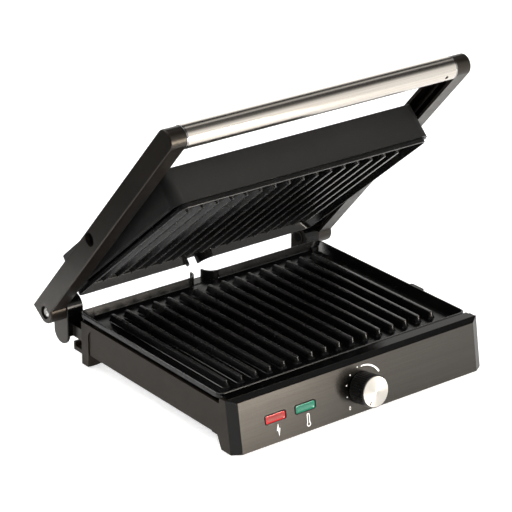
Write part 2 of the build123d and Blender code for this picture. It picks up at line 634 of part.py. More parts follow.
def make_arm(side):
    """One arm: a deep channel open towards the head, with round ends and bosses."""
    corner = hypot(*ARM_CORNER)
    touch = atan2(ARM_CORNER[1], ARM_CORNER[0]) + acos(ARM_BOSS_R / corner)
    neck = (9.64, -5.3)
    with BuildPart() as arm:
        with BuildSketch(Plane.YZ.offset(side * ARM_INNER)):
            with BuildLine():
                Line(arm_point(*ARM_CORNER), arm_point(ARM_REACH, ARM_END_R))
                ThreePointArc(
                    arm_point(ARM_REACH, ARM_END_R),
                    arm_point(ARM_REACH + ARM_END_R, 0),
                    arm_point(ARM_REACH, -ARM_END_R),
                )
                Line(arm_point(ARM_REACH, -ARM_END_R), arm_point(*neck))
                ThreePointArc(
                    arm_point(*neck),
                    arm_point(0, -ARM_BOSS_R),
                    arm_point(ARM_BOSS_R * cos(touch), ARM_BOSS_R * sin(touch)),
                )
                Line(arm_point(ARM_BOSS_R * cos(touch), ARM_BOSS_R * sin(touch)), arm_point(*ARM_CORNER))
            make_face()
        extrude(amount=side * (ARM_OUTER - ARM_INNER))
        fillet(arm.faces().sort_by(Axis.X)[-1 if side > 0 else 0].edges(), 1.4)
        # The channel on the inner side stops short of the handle.
        with BuildSketch(Plane.YZ.offset(side * ARM_INNER)):
            with BuildLine():
                Polyline(
                    arm_point(-8.6, 13.8),
                    arm_point(ARM_REACH - 15.0, 8.0),
                    arm_point(ARM_REACH - 15.0, -7.6),
                    arm_point(12.0, -3.0),
                    arm_point(-7.0, 1.5),
                    close=True,
                )
            make_face()
        extrude(amount=side * (ARM_OUTER - ARM_INNER - ARM_FACE), mode=Mode.SUBTRACT)
        # Bosses, and a stiffening rib along the channel on each side of the head's boss.
        boss_top = side * (ARM_OUTER - ARM_FACE)
        hinge_at = arm_point(0, 0)
        head_at = arm_point(*HEAD_PIVOT)
        bar_x(9.4, side * ARM_INNER, boss_top, *hinge_at)
        bar_x(8.2, side * ARM_INNER, boss_top, *head_at)
        for start, end in ((8.0, HEAD_PIVOT[0] - 6.0), (HEAD_PIVOT[0] + 6.0, ARM_REACH - 14.0)):
            with BuildSketch(Plane.YZ.offset(side * (ARM_INNER + 6.0))):
                with BuildLine():
                    Polyline(
                        arm_point(start, 2.2),
                        arm_point(end, 2.2),
                        arm_point(end, 0.8),
                        arm_point(start, 0.8),
                        close=True,
                    )
                make_face()
            extrude(amount=side * (ARM_OUTER - ARM_INNER - ARM_FACE - 5.9))
        # Hinge pin's bore and the recess for its cap; head pin's bore and its recess.
        outside = side * (ARM_OUTER + 1.0)
        bar_x(HINGE_PIN_R + 0.02, side * (ARM_INNER - 1.0), outside, *hinge_at, mode=Mode.SUBTRACT)
        bar_x(6.5, side * HINGE_CAP_X, outside, *hinge_at, mode=Mode.SUBTRACT)
        bar_x(HEAD_PIN_R + RUNNING, side * (ARM_INNER - 1.0), outside, *head_at, mode=Mode.SUBTRACT)
        bar_x(HEAD_BORE_R, side * HEAD_BORE_X, outside, *head_at, mode=Mode.SUBTRACT)
    return arm


for name, side in SIDES.items():
    write(make_arm(side), f"arm_{name}", lid=True)

with BuildPart() as hinge_pins:
    for side in SIDES.values():
        bar_x(HINGE_PIN_R, side * (KNUCKLE_INNER - 1.4), side * HINGE_CAP_X, HINGE_Y, HINGE_Z)
write(hinge_pins, "hinge_pins", lid=True)

with BuildPart() as hinge_caps:
    for side in SIDES.values():
        bar_x(4.9, side * HINGE_CAP_X, side * (HINGE_CAP_X + 1.8), HINGE_Y, HINGE_Z)
    cap_faces = hinge_caps.faces().sort_by(Axis.X)
    fillet(cap_faces[-1].edges() + cap_faces[0].edges(), 0.9)
write(hinge_caps, "hinge_caps", lid=True)

handle_at = arm_point(ARM_REACH, 0)
with BuildPart() as handle_tube:
    bar_x(HANDLE_R, -HANDLE_HALF, HANDLE_HALF, *handle_at)
    bar_x(HANDLE_R - HANDLE_WALL, -HANDLE_HALF, HANDLE_HALF, *handle_at, mode=Mode.SUBTRACT)
    under = radians(-115.0)
    with BuildSketch(Plane(origin=(143.0, *handle_at), x_dir=(1, 0, 0), z_dir=(0, cos(under), sin(under)))):
        Circle(1.9)
    extrude(amount=HANDLE_R + 2.0, mode=Mode.SUBTRACT)
write(handle_tube, "handle_tube", lid=True)

for name, side in SIDES.items():
    with BuildPart() as handle_collar:
        bar_x(HANDLE_R, side * HANDLE_HALF, side * ARM_INNER, *handle_at)
        bar_x(HANDLE_R - HANDLE_WALL - 0.02, side * (HANDLE_HALF - 18.0), side * HANDLE_HALF, *handle_at)
    write(handle_collar, f"handle_collar_{name}", lid=True)

# ======================= head =======================

head_at = arm_point(*HEAD_PIVOT)


def head_outline(plane, half, front, rear, round_front, round_rear):
    """Rectangle seen from above with large front corners and small rear ones."""
    with BuildSketch(plane) as outline:
        with Locations((0, (front + rear) / 2)):
            Rectangle(2 * half, rear - front)
        fillet(outline.vertices().group_by(Axis.Y)[0], round_front)
        fillet(outline.vertices().group_by(Axis.Y)[-1], round_rear)
    return outline.sketch


with BuildPart() as upper_housing:
    wall = HEAD_WALL
    loft([
        head_outline(Plane.XY.offset(HEAD_LOW), HEAD_HALF, HEAD_FRONT[0], HEAD_REAR, HEAD_CORNER, 3.0),
        head_outline(Plane.XY.offset(HEAD_TOP), HEAD_HALF - 0.9, HEAD_FRONT[1], HEAD_REAR, HEAD_CORNER, 3.0),
    ])
    fillet(upper_housing.faces().sort_by(Axis.Z)[-1].edges(), 1.6)
    loft([
        head_outline(Plane.XY.offset(HEAD_LOW - 0.5), HEAD_HALF - wall, HEAD_FRONT[0] + wall,
                     HEAD_REAR - wall, HEAD_CORNER - wall, 1.0),
        head_outline(Plane.XY.offset(HEAD_TOP - wall), HEAD_HALF - 0.9 - wall, HEAD_FRONT[1] + wall,
                     HEAD_REAR - wall, HEAD_CORNER - wall, 1.0),
    ], mode=Mode.SUBTRACT)
    # Low side lips, the way out for the plate's rear rim, and a seat for the top panel.
    for side in SIDES.values():
        low_x, high_x = sorted((side * (HEAD_HALF - 0.6), side * HEAD_LIP))
        box((low_x, HEAD_FRONT[0] + HEAD_CORNER, HEAD_LOW), (high_x, HEAD_REAR - 3.0, HEAD_LOW + 1.8))
    box((-145.0, HEAD_REAR - wall - 1.0, HEAD_LOW - 1.0), (145.0, HEAD_REAR + 1.0, 67.0), mode=Mode.SUBTRACT)
    box((-122.3, 49.7, HEAD_TOP - 1.0), (122.3, 217.3, HEAD_TOP + 1.0), mode=Mode.SUBTRACT)
    # Pivot bosses inside and outside each wall, screw posts, and the release's slot.
    for side in SIDES.values():
        bar_x(9.0, side * (HEAD_HALF - 1.5), side * (ARM_INNER - 0.4), *head_at)
        bar_x(9.0, side * (HEAD_HALF - 9.0), side * (HEAD_HALF - 1.5), *head_at)
        bar_x(HEAD_PIN_R + 0.02, side * (HEAD_HALF - 10.0), side * ARM_INNER, *head_at, mode=Mode.SUBTRACT)
    with BuildSketch(Plane.XY.offset(HEAD_TOP - wall)):
        with Locations(*HEAD_POSTS):
            Circle(4.2)
            Circle(1.5 + RUNNING, mode=Mode.SUBTRACT)
    extrude(amount=-16.0)
    box((HEAD_HALF - 4.0, RELEASE_Y - RELEASE_WIDTH / 2 - GAP, UPPER_RIM_Z + 12.6),
        (HEAD_HALF + 1.0, RELEASE_Y + RELEASE_WIDTH / 2 + GAP, UPPER_RIM_Z + 17.4), mode=Mode.SUBTRACT)
write(upper_housing, "upper_housing", lid=True)

with BuildPart() as upper_top_panel:
    box((-122.0, 50.0, HEAD_TOP - 1.0), (122.0, 217.0, HEAD_TOP + 0.3))
    fillet(upper_top_panel.edges().filter_by(Axis.Z), 5.0)
    chamfer(upper_top_panel.faces().sort_by(Axis.Z)[-1].edges(), 0.3)
write(upper_top_panel, "upper_top_panel", lid=True)

with BuildPart() as upper_carrier:
    # Bridge under the housing's top that the reflector and the plate's catches hang from.
    for x, y in HEAD_POSTS:
        with BuildSketch(Plane.XY.offset(HEAD_TOP - HEAD_WALL - 16.0)):
            with Locations((x, y)):
                Circle(5.5)
        extrude(amount=-1.4)
    for side in SIDES.values():
        low_x, high_x = sorted((side * 127.0, side * 137.0))
        box((low_x, 40.0, HEAD_TOP - HEAD_WALL - 17.4), (high_x, 228.0, HEAD_TOP - HEAD_WALL - 16.0))
    with BuildSketch(Plane.XY.offset(HEAD_TOP - HEAD_WALL - 17.4)):
        with Locations(*HEAD_POSTS):
            Circle(1.5 + 2 * RUNNING)
    extrude(amount=2.0, mode=Mode.SUBTRACT)
write(upper_carrier, "upper_carrier", lid=True)

with BuildPart() as carrier_screws:
    base_z = HEAD_TOP - HEAD_WALL - 17.4
    with BuildSketch(Plane.XY.offset(base_z)):
        with Locations(*HEAD_POSTS):
            Circle(1.5)
    extrude(amount=10.0)
    with BuildSketch(Plane.XY.offset(base_z)):
        with Locations(*HEAD_POSTS):
            Circle(3.0)
    extrude(amount=-1.8)
write(carrier_screws, "carrier_screws", lid=True)

write(make_element(UPPER_RIM_Z + PLATE_DEPTH + PLATE_WALL + ELEMENT_R + 0.8), "upper_element", lid=True)
write(make_reflector(82.0, -9.0, HEAD_TOP - HEAD_WALL), "upper_reflector", lid=True)

with BuildPart() as thermal_fuse:
    bar_x(3.0, -14.0, 14.0, 135.0, 85.2)
    bar_x(1.2, -24.0, 24.0, 135.0, 85.2)
write(thermal_fuse, "thermal_fuse", lid=True)

with BuildPart() as head_pins:
    for side in SIDES.values():
        bar_x(HEAD_PIN_R, side * (HEAD_HALF - 9.0), side * (HEAD_BORE_X + 1.4), *head_at)
        bar_x(6.0, side * (HEAD_BORE_X + 0.3), side * (HEAD_BORE_X + 2.0), *head_at)
write(head_pins, "head_pins", lid=True)
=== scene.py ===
# %% [markdown]
# # A panini press, from working parts to a finished look
# The press comes in as a fixed frame of CAD parts: a base, a lid on two hinged arms, a floating
# head, a knob and two sprung releases. This lesson gives each part its real edges and finish,
# and adds the details that a CAD model leaves plain.

# %% Load the frame
import json
from math import acos, atan2, cos, degrees, pi, radians, sin

import bmesh
import bpy
from mathutils import Matrix, Vector

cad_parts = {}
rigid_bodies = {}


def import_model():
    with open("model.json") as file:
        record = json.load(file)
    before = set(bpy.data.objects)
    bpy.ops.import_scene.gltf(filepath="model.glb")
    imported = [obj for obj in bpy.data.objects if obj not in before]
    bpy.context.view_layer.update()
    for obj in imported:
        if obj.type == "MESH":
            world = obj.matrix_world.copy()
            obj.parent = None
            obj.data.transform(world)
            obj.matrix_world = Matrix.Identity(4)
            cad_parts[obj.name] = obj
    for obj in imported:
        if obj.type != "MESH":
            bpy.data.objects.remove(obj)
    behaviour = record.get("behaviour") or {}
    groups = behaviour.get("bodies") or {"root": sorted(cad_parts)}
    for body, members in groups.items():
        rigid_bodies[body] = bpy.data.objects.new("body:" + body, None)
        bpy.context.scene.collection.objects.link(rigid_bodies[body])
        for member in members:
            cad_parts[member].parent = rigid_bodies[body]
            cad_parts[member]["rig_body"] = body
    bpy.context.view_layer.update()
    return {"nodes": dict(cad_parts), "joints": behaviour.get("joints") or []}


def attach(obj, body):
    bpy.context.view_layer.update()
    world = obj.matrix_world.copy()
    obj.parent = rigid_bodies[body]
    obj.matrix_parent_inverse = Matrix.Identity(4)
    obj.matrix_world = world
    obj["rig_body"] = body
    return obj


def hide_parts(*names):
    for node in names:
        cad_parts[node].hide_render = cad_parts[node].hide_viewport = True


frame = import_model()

MM = 0.001

# %% [markdown]
# The lid stands open at rest. Its pieces are easier to describe with the lid closed, so one
# matrix opens a closed piece about the hinge line, which is the joint's own place in the record.

# %% Places worked out from the joints
joints = {joint["name"]: joint for joint in frame["joints"]}
HINGE = Vector(joints["lid_hinge"]["pos_m"])
KNOB_CENTRE = Vector(joints["knob_turn"]["pos_m"])
LID_OPEN = radians(40.0)
OPEN_LID = Matrix.Translation(HINGE) @ Matrix.Rotation(-LID_OPEN, 4, "X") @ Matrix.Translation(-HINGE)

# The front panel leans back: its own directions are across, up the panel, and out of it.
panel_out = -Vector(joints["knob_turn"]["axis"]).normalized()
panel_up = panel_out.cross(Vector((1, 0, 0)))
PANEL = Matrix.Translation(KNOB_CENTRE) @ Matrix((
    (1, panel_up.x, panel_out.x, 0),
    (0, panel_up.y, panel_out.y, 0),
    (0, panel_up.z, panel_out.z, 0),
    (0, 0, 0, 1),
))
print("panel leans", round(degrees(atan2(panel_out.z, -panel_out.y)), 1), "degrees")

# %% [markdown]
# ## Camera, floor and light
# A long lens from the front left looks down at the press, so that its edges stay nearly parallel.
# Black plastic is shaped by what it mirrors, so the room is dim, with wide soft glows where a
# surface has to shine: front right for the tube and the panel, behind for the ribs' crests.


# %% Camera
def look_from(centre, azimuth, elevation, distance, roll, lens):
    """Place the camera round a centre; azimuth 0 looks along +Y."""
    away = Vector((
        sin(azimuth) * cos(elevation),
        -cos(azimuth) * cos(elevation),
        sin(elevation),
    ))
    camera = bpy.data.objects.new("camera", bpy.data.cameras.new("camera"))
    bpy.context.scene.collection.objects.link(camera)
    camera.data.lens = lens
    camera.data.clip_start = 0.05
    turn = (-away).to_track_quat("-Z", "Y").to_matrix() @ Matrix.Rotation(roll, 3, "Z")
    camera.matrix_world = Matrix.Translation(centre + away * distance) @ turn.to_4x4()
    bpy.context.scene.camera = camera
    return camera


view = look_from(
    centre=Vector((-0.01458, 0.00863, 0.11169)), azimuth=radians(-37.78), elevation=radians(23.13),
    distance=2.1961, roll=radians(0.19), lens=163.36)
print("the camera stands", round(view.location.length, 2), "m away")


# %% Colour helper and the one function that adds a node
def srgb(code, alpha=1.0):
    """Hex sRGB to the linear values that shaders use."""
    parts = [int(code[i:i + 2], 16) / 255 for i in (1, 3, 5)]
    return (*[p / 12.92 if p <= 0.04045 else ((p + 0.055) / 1.055) ** 2.4 for p in parts], alpha)


def node(tree, kind, settings=None, inputs=None):
    """Add a node. An input given as a socket is linked; anything else is its value."""
    made = tree.nodes.new(kind)
    for key, value in (settings or {}).items():
        setattr(made, key, value)
    for key, value in (inputs or {}).items():
        if isinstance(value, bpy.types.NodeSocket):
            tree.links.new(value, made.inputs[key])
        else:
            made.inputs[key].default_value = value
    return made


# %% [markdown]
# The floor could be one plane, but polished black shows all that stands round it. So the floor is
# a grid of patches, and only those in front of the press and on its left appear in reflections.
# Pale walls stand round the floor for a view that looks along it, and reflections leave them out.


# %% Floor
ROOM_HALF, WALL_HIGH = 6.0, 4.0
TABLE_LEFT, STRIP_RIGHT, TABLE_RIGHT = -0.32, -0.16, 1.3
TABLE_FRONT, TABLE_BACK, STRIP_BACK = -1.5, 0.14, 0.34


def floor_paint():
    """Matt white that glows a little, as a table lit from all round does."""
    paint = bpy.data.materials.new("floor matt white")
    paint.use_nodes = True
    shader = paint.node_tree.nodes["Principled BSDF"]
    shader.inputs["Base Color"].default_value = srgb("#f4f4f4")
    shader.inputs["Roughness"].default_value = 0.9
    shader.inputs["Specular IOR Level"].default_value = 0.1
    shader.inputs["Emission Color"].default_value = (1, 1, 1, 1)
    shader.inputs["Emission Strength"].default_value = 0.6
    return paint


def stage_floor(name, quads, paint, mirrored):
    """Flat quads, each as its four corners."""
    mesh = bpy.data.meshes.new(name)
    points = [corner for quad in quads for corner in quad]
    mesh.from_pydata(points, [], [range(4 * i, 4 * i + 4) for i in range(len(quads))])
    mesh.materials.append(paint)
    floor = bpy.data.objects.new(name, mesh)
    bpy.context.scene.collection.objects.link(floor)
    floor.visible_glossy = mirrored


cuts_x = (-ROOM_HALF, TABLE_LEFT, STRIP_RIGHT, TABLE_RIGHT, ROOM_HALF)
cuts_y = (-ROOM_HALF, TABLE_FRONT, TABLE_BACK, STRIP_BACK, ROOM_HALF)
near, far = [], []
for i, (x0, x1) in enumerate(zip(cuts_x, cuts_x[1:])):
    for j, (y0, y1) in enumerate(zip(cuts_y, cuts_y[1:])):
        patch = ((x0, y0, 0), (x1, y0, 0), (x1, y1, 0), (x0, y1, 0))
        # Two patches in front, and the strip on the left that reaches further back.
        (near if (i, j) in ((1, 1), (2, 1), (1, 2)) else far).append(patch)
room_corners = [(ROOM_HALF * a, ROOM_HALF * b) for a, b in ((-1, -1), (1, -1), (1, 1), (-1, 1))]
for (x0, y0), (x1, y1) in zip(room_corners, room_corners[1:] + room_corners[:1]):
    far.append(((x0, y0, 0), (x0, y0, WALL_HIGH), (x1, y1, WALL_HIGH), (x1, y1, 0)))
white = floor_paint()
stage_floor("table", near, white, True)
stage_floor("floor", far, white, False)
print(len(near), "patches show in reflections,", len(far), "do not")

# %% [markdown]
# The room is the world's background. A panorama of a studio could light the press too, but a few
# directions with a strength each say plainly which surface every glow is for. Two lamps add what
# a glow cannot: a bright left end on the panel, and soft light from above.


# %% Room
def room(lower, upper, glows):
    """A dim room with soft glows: each has a direction, two angles where it fades, and a strength."""
    world = bpy.data.worlds.new("studio")
    bpy.context.scene.world = world
    world.use_nodes = True
    tree = world.node_tree
    way = node(tree, "ShaderNodeTexCoord").outputs["Generated"]
    height = node(tree, "ShaderNodeSeparateXYZ", inputs={"Vector": way}).outputs["Z"]
    total = node(tree, "ShaderNodeMapRange", {"interpolation_type": "SMOOTHSTEP"}, {
        "Value": height, "From Min": -0.25, "From Max": 0.25, "To Min": lower, "To Max": upper}).outputs[0]
    for aim, wide, narrow, strength in glows:
        near = node(tree, "ShaderNodeVectorMath", {"operation": "DOT_PRODUCT"},
                    {0: way, 1: Vector(aim).normalized()}).outputs["Value"]
        glow = node(tree, "ShaderNodeMapRange", {"interpolation_type": "SMOOTHSTEP"}, {
            "Value": near, "From Min": cos(radians(wide)), "From Max": cos(radians(narrow)),
            "To Min": 0.0, "To Max": strength}).outputs[0]
        total = node(tree, "ShaderNodeMath", {"operation": "ADD"}, {0: total, 1: glow}).outputs[0]
    tree.links.new(total, tree.nodes["Background"].inputs["Strength"])
    tree.nodes["Background"].inputs["Color"].default_value = (1, 0.985, 0.96, 1)


room(0.12, 0.035, [
    ((0.56, -0.82, 0.06), 46, 14, 1.35),     # front right, for the tube and the steel panel
    ((-0.30, -0.60, 0.74), 66, 25, 0.30),    # high in front, for the hood
    ((0.62, 0.76, 0.08), 30, 10, 1.6),       # low behind on the right, for the ribs' crests
    ((-0.40, 0.73, 0.56), 15, 7, 9.0),       # a lamp behind on the left, for thin lines along edges
    ((-0.62, 0.62, 0.48), 42, 15, 0.55),     # round it, for the back
    ((0.93, -0.05, 0.36), 26, 10, 0.4),      # right, for the right wall
    ((0.56, 0.17, 0.81), 11, 5, 0.8),        # a strip overhead, for the thin line on the tube
])


# %% Lamps
def soft_light(name, place, aim, size, power, colour="#ffffff"):
    """A square softbox aimed at a point."""
    lamp = bpy.data.lights.new(name, "AREA")
    lamp.shape = "RECTANGLE"
    lamp.size, lamp.size_y = size
    lamp.energy = power
    lamp.color = srgb(colour)[:3]
    box = bpy.data.objects.new(name, lamp)
    bpy.context.scene.collection.objects.link(box)
    turn = (Vector(aim) - Vector(place)).to_track_quat("-Z", "Y").to_matrix().to_4x4()
    box.matrix_world = Matrix.Translation(Vector(place)) @ turn


soft_light("panel light", (0.21, -0.79, 0.14), (-0.10, -0.13, 0.03), (0.30, 0.27), 7.0, "#fff4e6")
soft_light("overhead", (-0.4, 0.5, 2.4), (0, 0, 0), (1.8, 1.8), 20)
bpy.context.scene.view_settings.view_transform = "Standard"
print("lamps:", [light.name for light in bpy.data.lights])

# %% [markdown]
# ## Finishes
# Every material starts from what the real one is and how its surface was made. A blank has a
# Principled shader and the object's own coordinates in millimetres, so a pattern's scale is a
# real size: a noise of scale 1 / 0.6 repeats about every 0.6 mm.


# %% A blank material
def blank(name, colour, roughness, metallic=0.0, **constants):
    """A new material: its tree, its shader, and object coordinates in millimetres."""
    made = bpy.data.materials.new(name)
    made.use_nodes = True
    tree = made.node_tree
    shader = tree.nodes["Principled BSDF"]
    shader.inputs["Base Color"].default_value = srgb(colour)
    shader.inputs["Roughness"].default_value = roughness
    shader.inputs["Metallic"].default_value = metallic
    for key, value in constants.items():
        shader.inputs[key.replace("_", " ")].default_value = value
    where = node(tree, "ShaderNodeTexCoord")
    scaled = node(tree, "ShaderNodeVectorMath", {"operation": "SCALE"},
                  {0: where.outputs["Object"], "Scale": 1 / MM})
    return made, tree, shader, scaled.outputs[0]


def mottled(name, dark, light, roughness, vary, sizes, height, metallic=0.0, stretch=(1, 1, 1),
            **constants):
    """Noise in colour, gloss and relief. Sizes are their lumps in millimetres, height the relief's."""
    made, tree, shader, where = blank(name, light, roughness, metallic, **constants)
    patterns = []
    for size in sizes:
        placed = node(tree, "ShaderNodeMapping", inputs={
            "Vector": where, "Scale": [1 / (size * s) for s in stretch]})
        patterns.append(node(tree, "ShaderNodeTexNoise", inputs={
            "Vector": placed.outputs[0], "Scale": 1.0, "Detail": 3.0}).outputs["Fac"])
    colour, gloss, relief = patterns
    share = node(tree, "ShaderNodeMapRange", inputs={"Value": colour, "From Min": 0.3, "From Max": 0.7})
    mixed = node(tree, "ShaderNodeMix", {"data_type": "RGBA"}, {
        0: share.outputs[0], 6: srgb(dark), 7: srgb(light)})
    tree.links.new(mixed.outputs[2], shader.inputs["Base Color"])
    sheen = node(tree, "ShaderNodeMapRange", inputs={
        "Value": gloss, "From Min": 0.3, "From Max": 0.7,
        "To Min": roughness - vary, "To Max": roughness + vary})
    tree.links.new(sheen.outputs[0], shader.inputs["Roughness"])
    raised = node(tree, "ShaderNodeBump", inputs={
        "Height": relief, "Distance": height * MM, "Strength": 0.6})
    tree.links.new(raised.outputs[0], shader.inputs["Normal"])
    return made, tree, shader, where


# %% [markdown]
# Moulded phenolic and nylon come out of a spark-eroded tool: satin, with a fine pebble and a
# faint cloudiness in the gloss. The same recipe serves the arms' satin paint and the painted
# sheet. Polished mouldings are nearly a mirror, with only the slow ripple of a cooled surface.


# %% Blacks
def satin(name, dark, light, roughness, pebble, height, **constants):
    """A fine pebble over slow changes of gloss."""
    return mottled(name, dark, light, roughness, 0.045, (38.0, 9.0, pebble), height, **constants)[0]


def polished(name, dark, light, roughness, **constants):
    """Nearly a mirror, with a slow ripple."""
    return mottled(name, dark, light, roughness, 0.04, (30.0, 14.0, 26.0), 0.012, **constants)[0]


# Warm black, soft broad shine: the base's walls.
housing_black = satin("moulded phenolic satin", "#17130f", "#1d1813", 0.40, 0.55, 0.007,
                      Specular_IOR_Level=0.16, Specular_Tint=srgb("#fff0dc"))
# Flatter and more neutral, for the head above the heat.
head_black = satin("moulded phenolic matt", "#0c0c0c", "#101010", 0.46, 0.5, 0.009)
# Paint on cast metal: smoother than the mouldings, so the arms show a gradient.
arm_black = satin("satin enamel on cast arm", "#110f0d", "#161311", 0.32, 0.7, 0.004,
                  Specular_IOR_Level=0.32, Specular_Tint=srgb("#fff3e2"))
# Thin paint on pressed sheet, a little dusty.
sheet_black = satin("black painted sheet", "#0f0f0f", "#141414", 0.45, 0.4, 0.006)
# The deepest black, with crisp reflections along its edges: the front frame and knuckles.
gloss_black = polished("polished black moulding", "#030303", "#050505", 0.15, Specular_IOR_Level=0.2)
# Thick glossy enamel that mirrors the light like the tube beside it.
collar_black = polished("glossy black enamel", "#030303", "#050505", 0.12, IOR=3.0)
# Nylon with a low sheen, so that each knurl catches one thin line.
knob_black = satin("knurled nylon", "#060606", "#0a0a0a", 0.30, 0.4, 0.003)
# Dull enough to stay dark where the bright cap round it flares.
pointer_black = satin("matt black paint", "#2a2725", "#34302d", 0.8, 0.5, 0.002, Specular_IOR_Level=0.05)
# No shine at all.
rubber_black = satin("black rubber", "#0f0f0f", "#161616", 0.7, 0.8, 0.01)
# Brown and dull, as electrical mouldings are.
control_brown = satin("phenolic control body", "#241a14", "#30241c", 0.5, 0.6, 0.006)
# Unglazed and creamy.
ceramic_cream = satin("steatite ceramic", "#cfc6b4", "#ddd6c8", 0.55, 1.2, 0.006)
# Flat and almost white, with no depth.
white_ink = satin("white screen-printed ink", "#dadada", "#ececec", 0.5, 0.3, 0.002)
print(len(bpy.data.materials), "materials so far")

# %% [markdown]
# The plates are die-cast aluminium under a sprayed non-stick coating. The spray dries to a soft
# orange peel with tiny flecks in it. It is glossy enough that the tray's floor mirrors the ribs.


# %% Non-stick coating
FLECK_SPACING = 0.9


def nonstick(name):
    """A dark orange peel with paler flecks."""
    made, tree, shader, where = mottled(
        name, "#070707", "#0b0b0b", 0.25, 0.04, (45.0, 22.0, 1.6), 0.003, Specular_IOR_Level=0.3)
    body = shader.inputs["Base Color"].links[0].from_socket
    flecks = node(tree, "ShaderNodeTexVoronoi", {"feature": "F1"},
                  {"Vector": where, "Scale": 1 / FLECK_SPACING})
    mask = node(tree, "ShaderNodeMapRange", inputs={
        "Value": flecks.outputs["Distance"], "From Min": 0.05, "From Max": 0.16,
        "To Min": 1.0, "To Max": 0.0})
    mixed = node(tree, "ShaderNodeMix", {"data_type": "RGBA"}, {
        0: mask.outputs[0], 6: body, 7: srgb("#1a1a1a")})
    tree.links.new(mixed.outputs[2], shader.inputs["Base Color"])
    return made


# Black with a wet-looking shine on every rounded edge.
plate_black = nonstick("sprayed non-stick coating")
# The crests and the top of the rim are painted greyer: a painted highlight on the faces that look up.
crest_painted_highlight = mottled(
    "non-stick coating with painted crest highlight", "#262626", "#333333", 0.28, 0.05, (30.0, 12.0, 1.6), 0.002)[0]

# %% [markdown]
# Brushed stainless steel is scored all one way by an abrasive belt. Noise stretched along the
# brushing gives the scratches, and the shader's anisotropy smears the highlight across them.
# Real scratches are about 0.05 mm apart; here they are drawn at 0.3 mm so that they show. The
# knob's cap is faced on a lathe instead: its rings are really about 0.1 mm apart, drawn at 0.45.


# %% Metals
RING_PITCH = 0.45


def brushed(name, dark, light, roughness, anisotropic):
    """Steel brushed along X."""
    made, tree, shader, where = mottled(
        name, dark, light, roughness, 0.03, (0.9, 0.35, 0.3), 0.0015, metallic=1.0,
        stretch=(160, 1, 1), Anisotropic=anisotropic)
    facing = node(tree, "ShaderNodeNewGeometry").outputs["Normal"]
    across = node(tree, "ShaderNodeVectorMath", {"operation": "CROSS_PRODUCT"}, {0: facing, 1: (1, 0, 0)})
    tree.links.new(across.outputs[0], shader.inputs["Tangent"])
    return made


def plated(name, dark, light, roughness, size=3.0):
    """Plated or drawn metal with a faint mottle."""
    return mottled(name, dark, light, roughness, 0.06, (size, size * 2, size * 4), 0.002, metallic=1.0)[0]


def spun(name, centre, normal):
    """Aluminium faced on a lathe: rings about its centre smear the light into spokes."""
    made, tree, shader, where = blank(name, "#b2b0ab", 0.34, 1.0, Anisotropic=0.85)
    away = node(tree, "ShaderNodeVectorMath", {"operation": "SUBTRACT"},
                {0: where, 1: [c / MM for c in centre]}).outputs[0]
    radius = node(tree, "ShaderNodeVectorMath", {"operation": "LENGTH"}, {0: away}).outputs["Value"]
    phase = node(tree, "ShaderNodeMath", {"operation": "MULTIPLY"}, {0: radius, 1: 2 * pi / RING_PITCH})
    rings = node(tree, "ShaderNodeMath", {"operation": "SINE"}, {0: phase.outputs[0]})
    raised = node(tree, "ShaderNodeBump", inputs={
        "Height": rings.outputs[0], "Distance": 0.003 * MM, "Strength": 0.5})
    tree.links.new(raised.outputs[0], shader.inputs["Normal"])
    outward = node(tree, "ShaderNodeVectorMath", {"operation": "NORMALIZE"}, {0: away}).outputs[0]
    round_way = node(tree, "ShaderNodeVectorMath", {"operation": "CROSS_PRODUCT"},
                     {0: outward, 1: list(normal)}).outputs[0]
    tree.links.new(round_way, shader.inputs["Tangent"])
    return made


# Dark tinted steel: it mirrors the table and the knob, softly and darker than they are.
panel_steel = brushed("brushed dark stainless", "#42403d", "#484643", 0.21, 0.75)
# Bright steel with long bands of light and dark along the tube.
tube_steel = brushed("brushed stainless tube", "#b5afa7", "#c6c1ba", 0.20, 0.5)
# Cold grey shine of zinc.
screw_steel = plated("zinc-plated steel", "#b4b4b2", "#d2d2cf", 0.28)
# Oil-blackened, with only a dull gleam.
pin_steel = plated("blackened steel", "#1c1b1a", "#262524", 0.35)
# Straw and brown from heat.
element_steel = plated("heat-tinted stainless", "#5e5348", "#7a6f63", 0.35)
# Soft rolled sheet, wavy and bright.
reflector_sheet = plated("bright aluminium sheet", "#a9a9a7", "#c4c4c2", 0.25, 8.0)
# Silky white metal whose spokes of light stay still as it turns.
knob_metal = spun("spun aluminium", KNOB_CENTRE, panel_out)


# %% [markdown]
# The lenses are injection-moulded clear plastic in red and green, and no lamp is lit behind them.
# Real transmission would show a dark hole at this size, so a pattern of cells paints the light of a
# prism window: painted shade, deep colour in the grooves, and a painted glow, milky colour on the facets.


# %% Clear plastics
CELL_PITCH = 0.9


def lens_with_painted_glow(name, deep, light):
    """Clear tinted plastic over a grid of tiny prisms, with a painted glow on the facets and painted shade
    in the grooves.
    """
    made, tree, shader, where = blank(name, deep, 0.3, Specular_IOR_Level=0.2)
    cells = node(tree, "ShaderNodeTexVoronoi", {"feature": "DISTANCE_TO_EDGE"},
                 {"Vector": where, "Scale": 1 / CELL_PITCH, "Randomness": 0.0}).outputs["Distance"]
    share = node(tree, "ShaderNodeMapRange", inputs={"Value": cells, "From Min": 0.1, "From Max": 0.4})
    mixed = node(tree, "ShaderNodeMix", {"data_type": "RGBA"}, {
        0: share.outputs[0], 6: srgb(deep), 7: srgb(light)})
    tree.links.new(mixed.outputs[2], shader.inputs["Base Color"])
    return made


# Painted glow: the lenses are painted paler on each cell's face, and painted shade keeps them deep in the
# grooves.
red_pad_painted_glow = lens_with_painted_glow("red prism window with painted glow", "#7a3735", "#a27672")
green_pad_painted_glow = lens_with_painted_glow("green prism window with painted glow", "#2c6656", "#6d9184")
# The smooth border shows the full colour of the plastic.
red_rim = polished("red clear plastic", "#96090d", "#a81014", 0.12)
green_rim = polished("green clear plastic", "#045c46", "#056b52", 0.12)
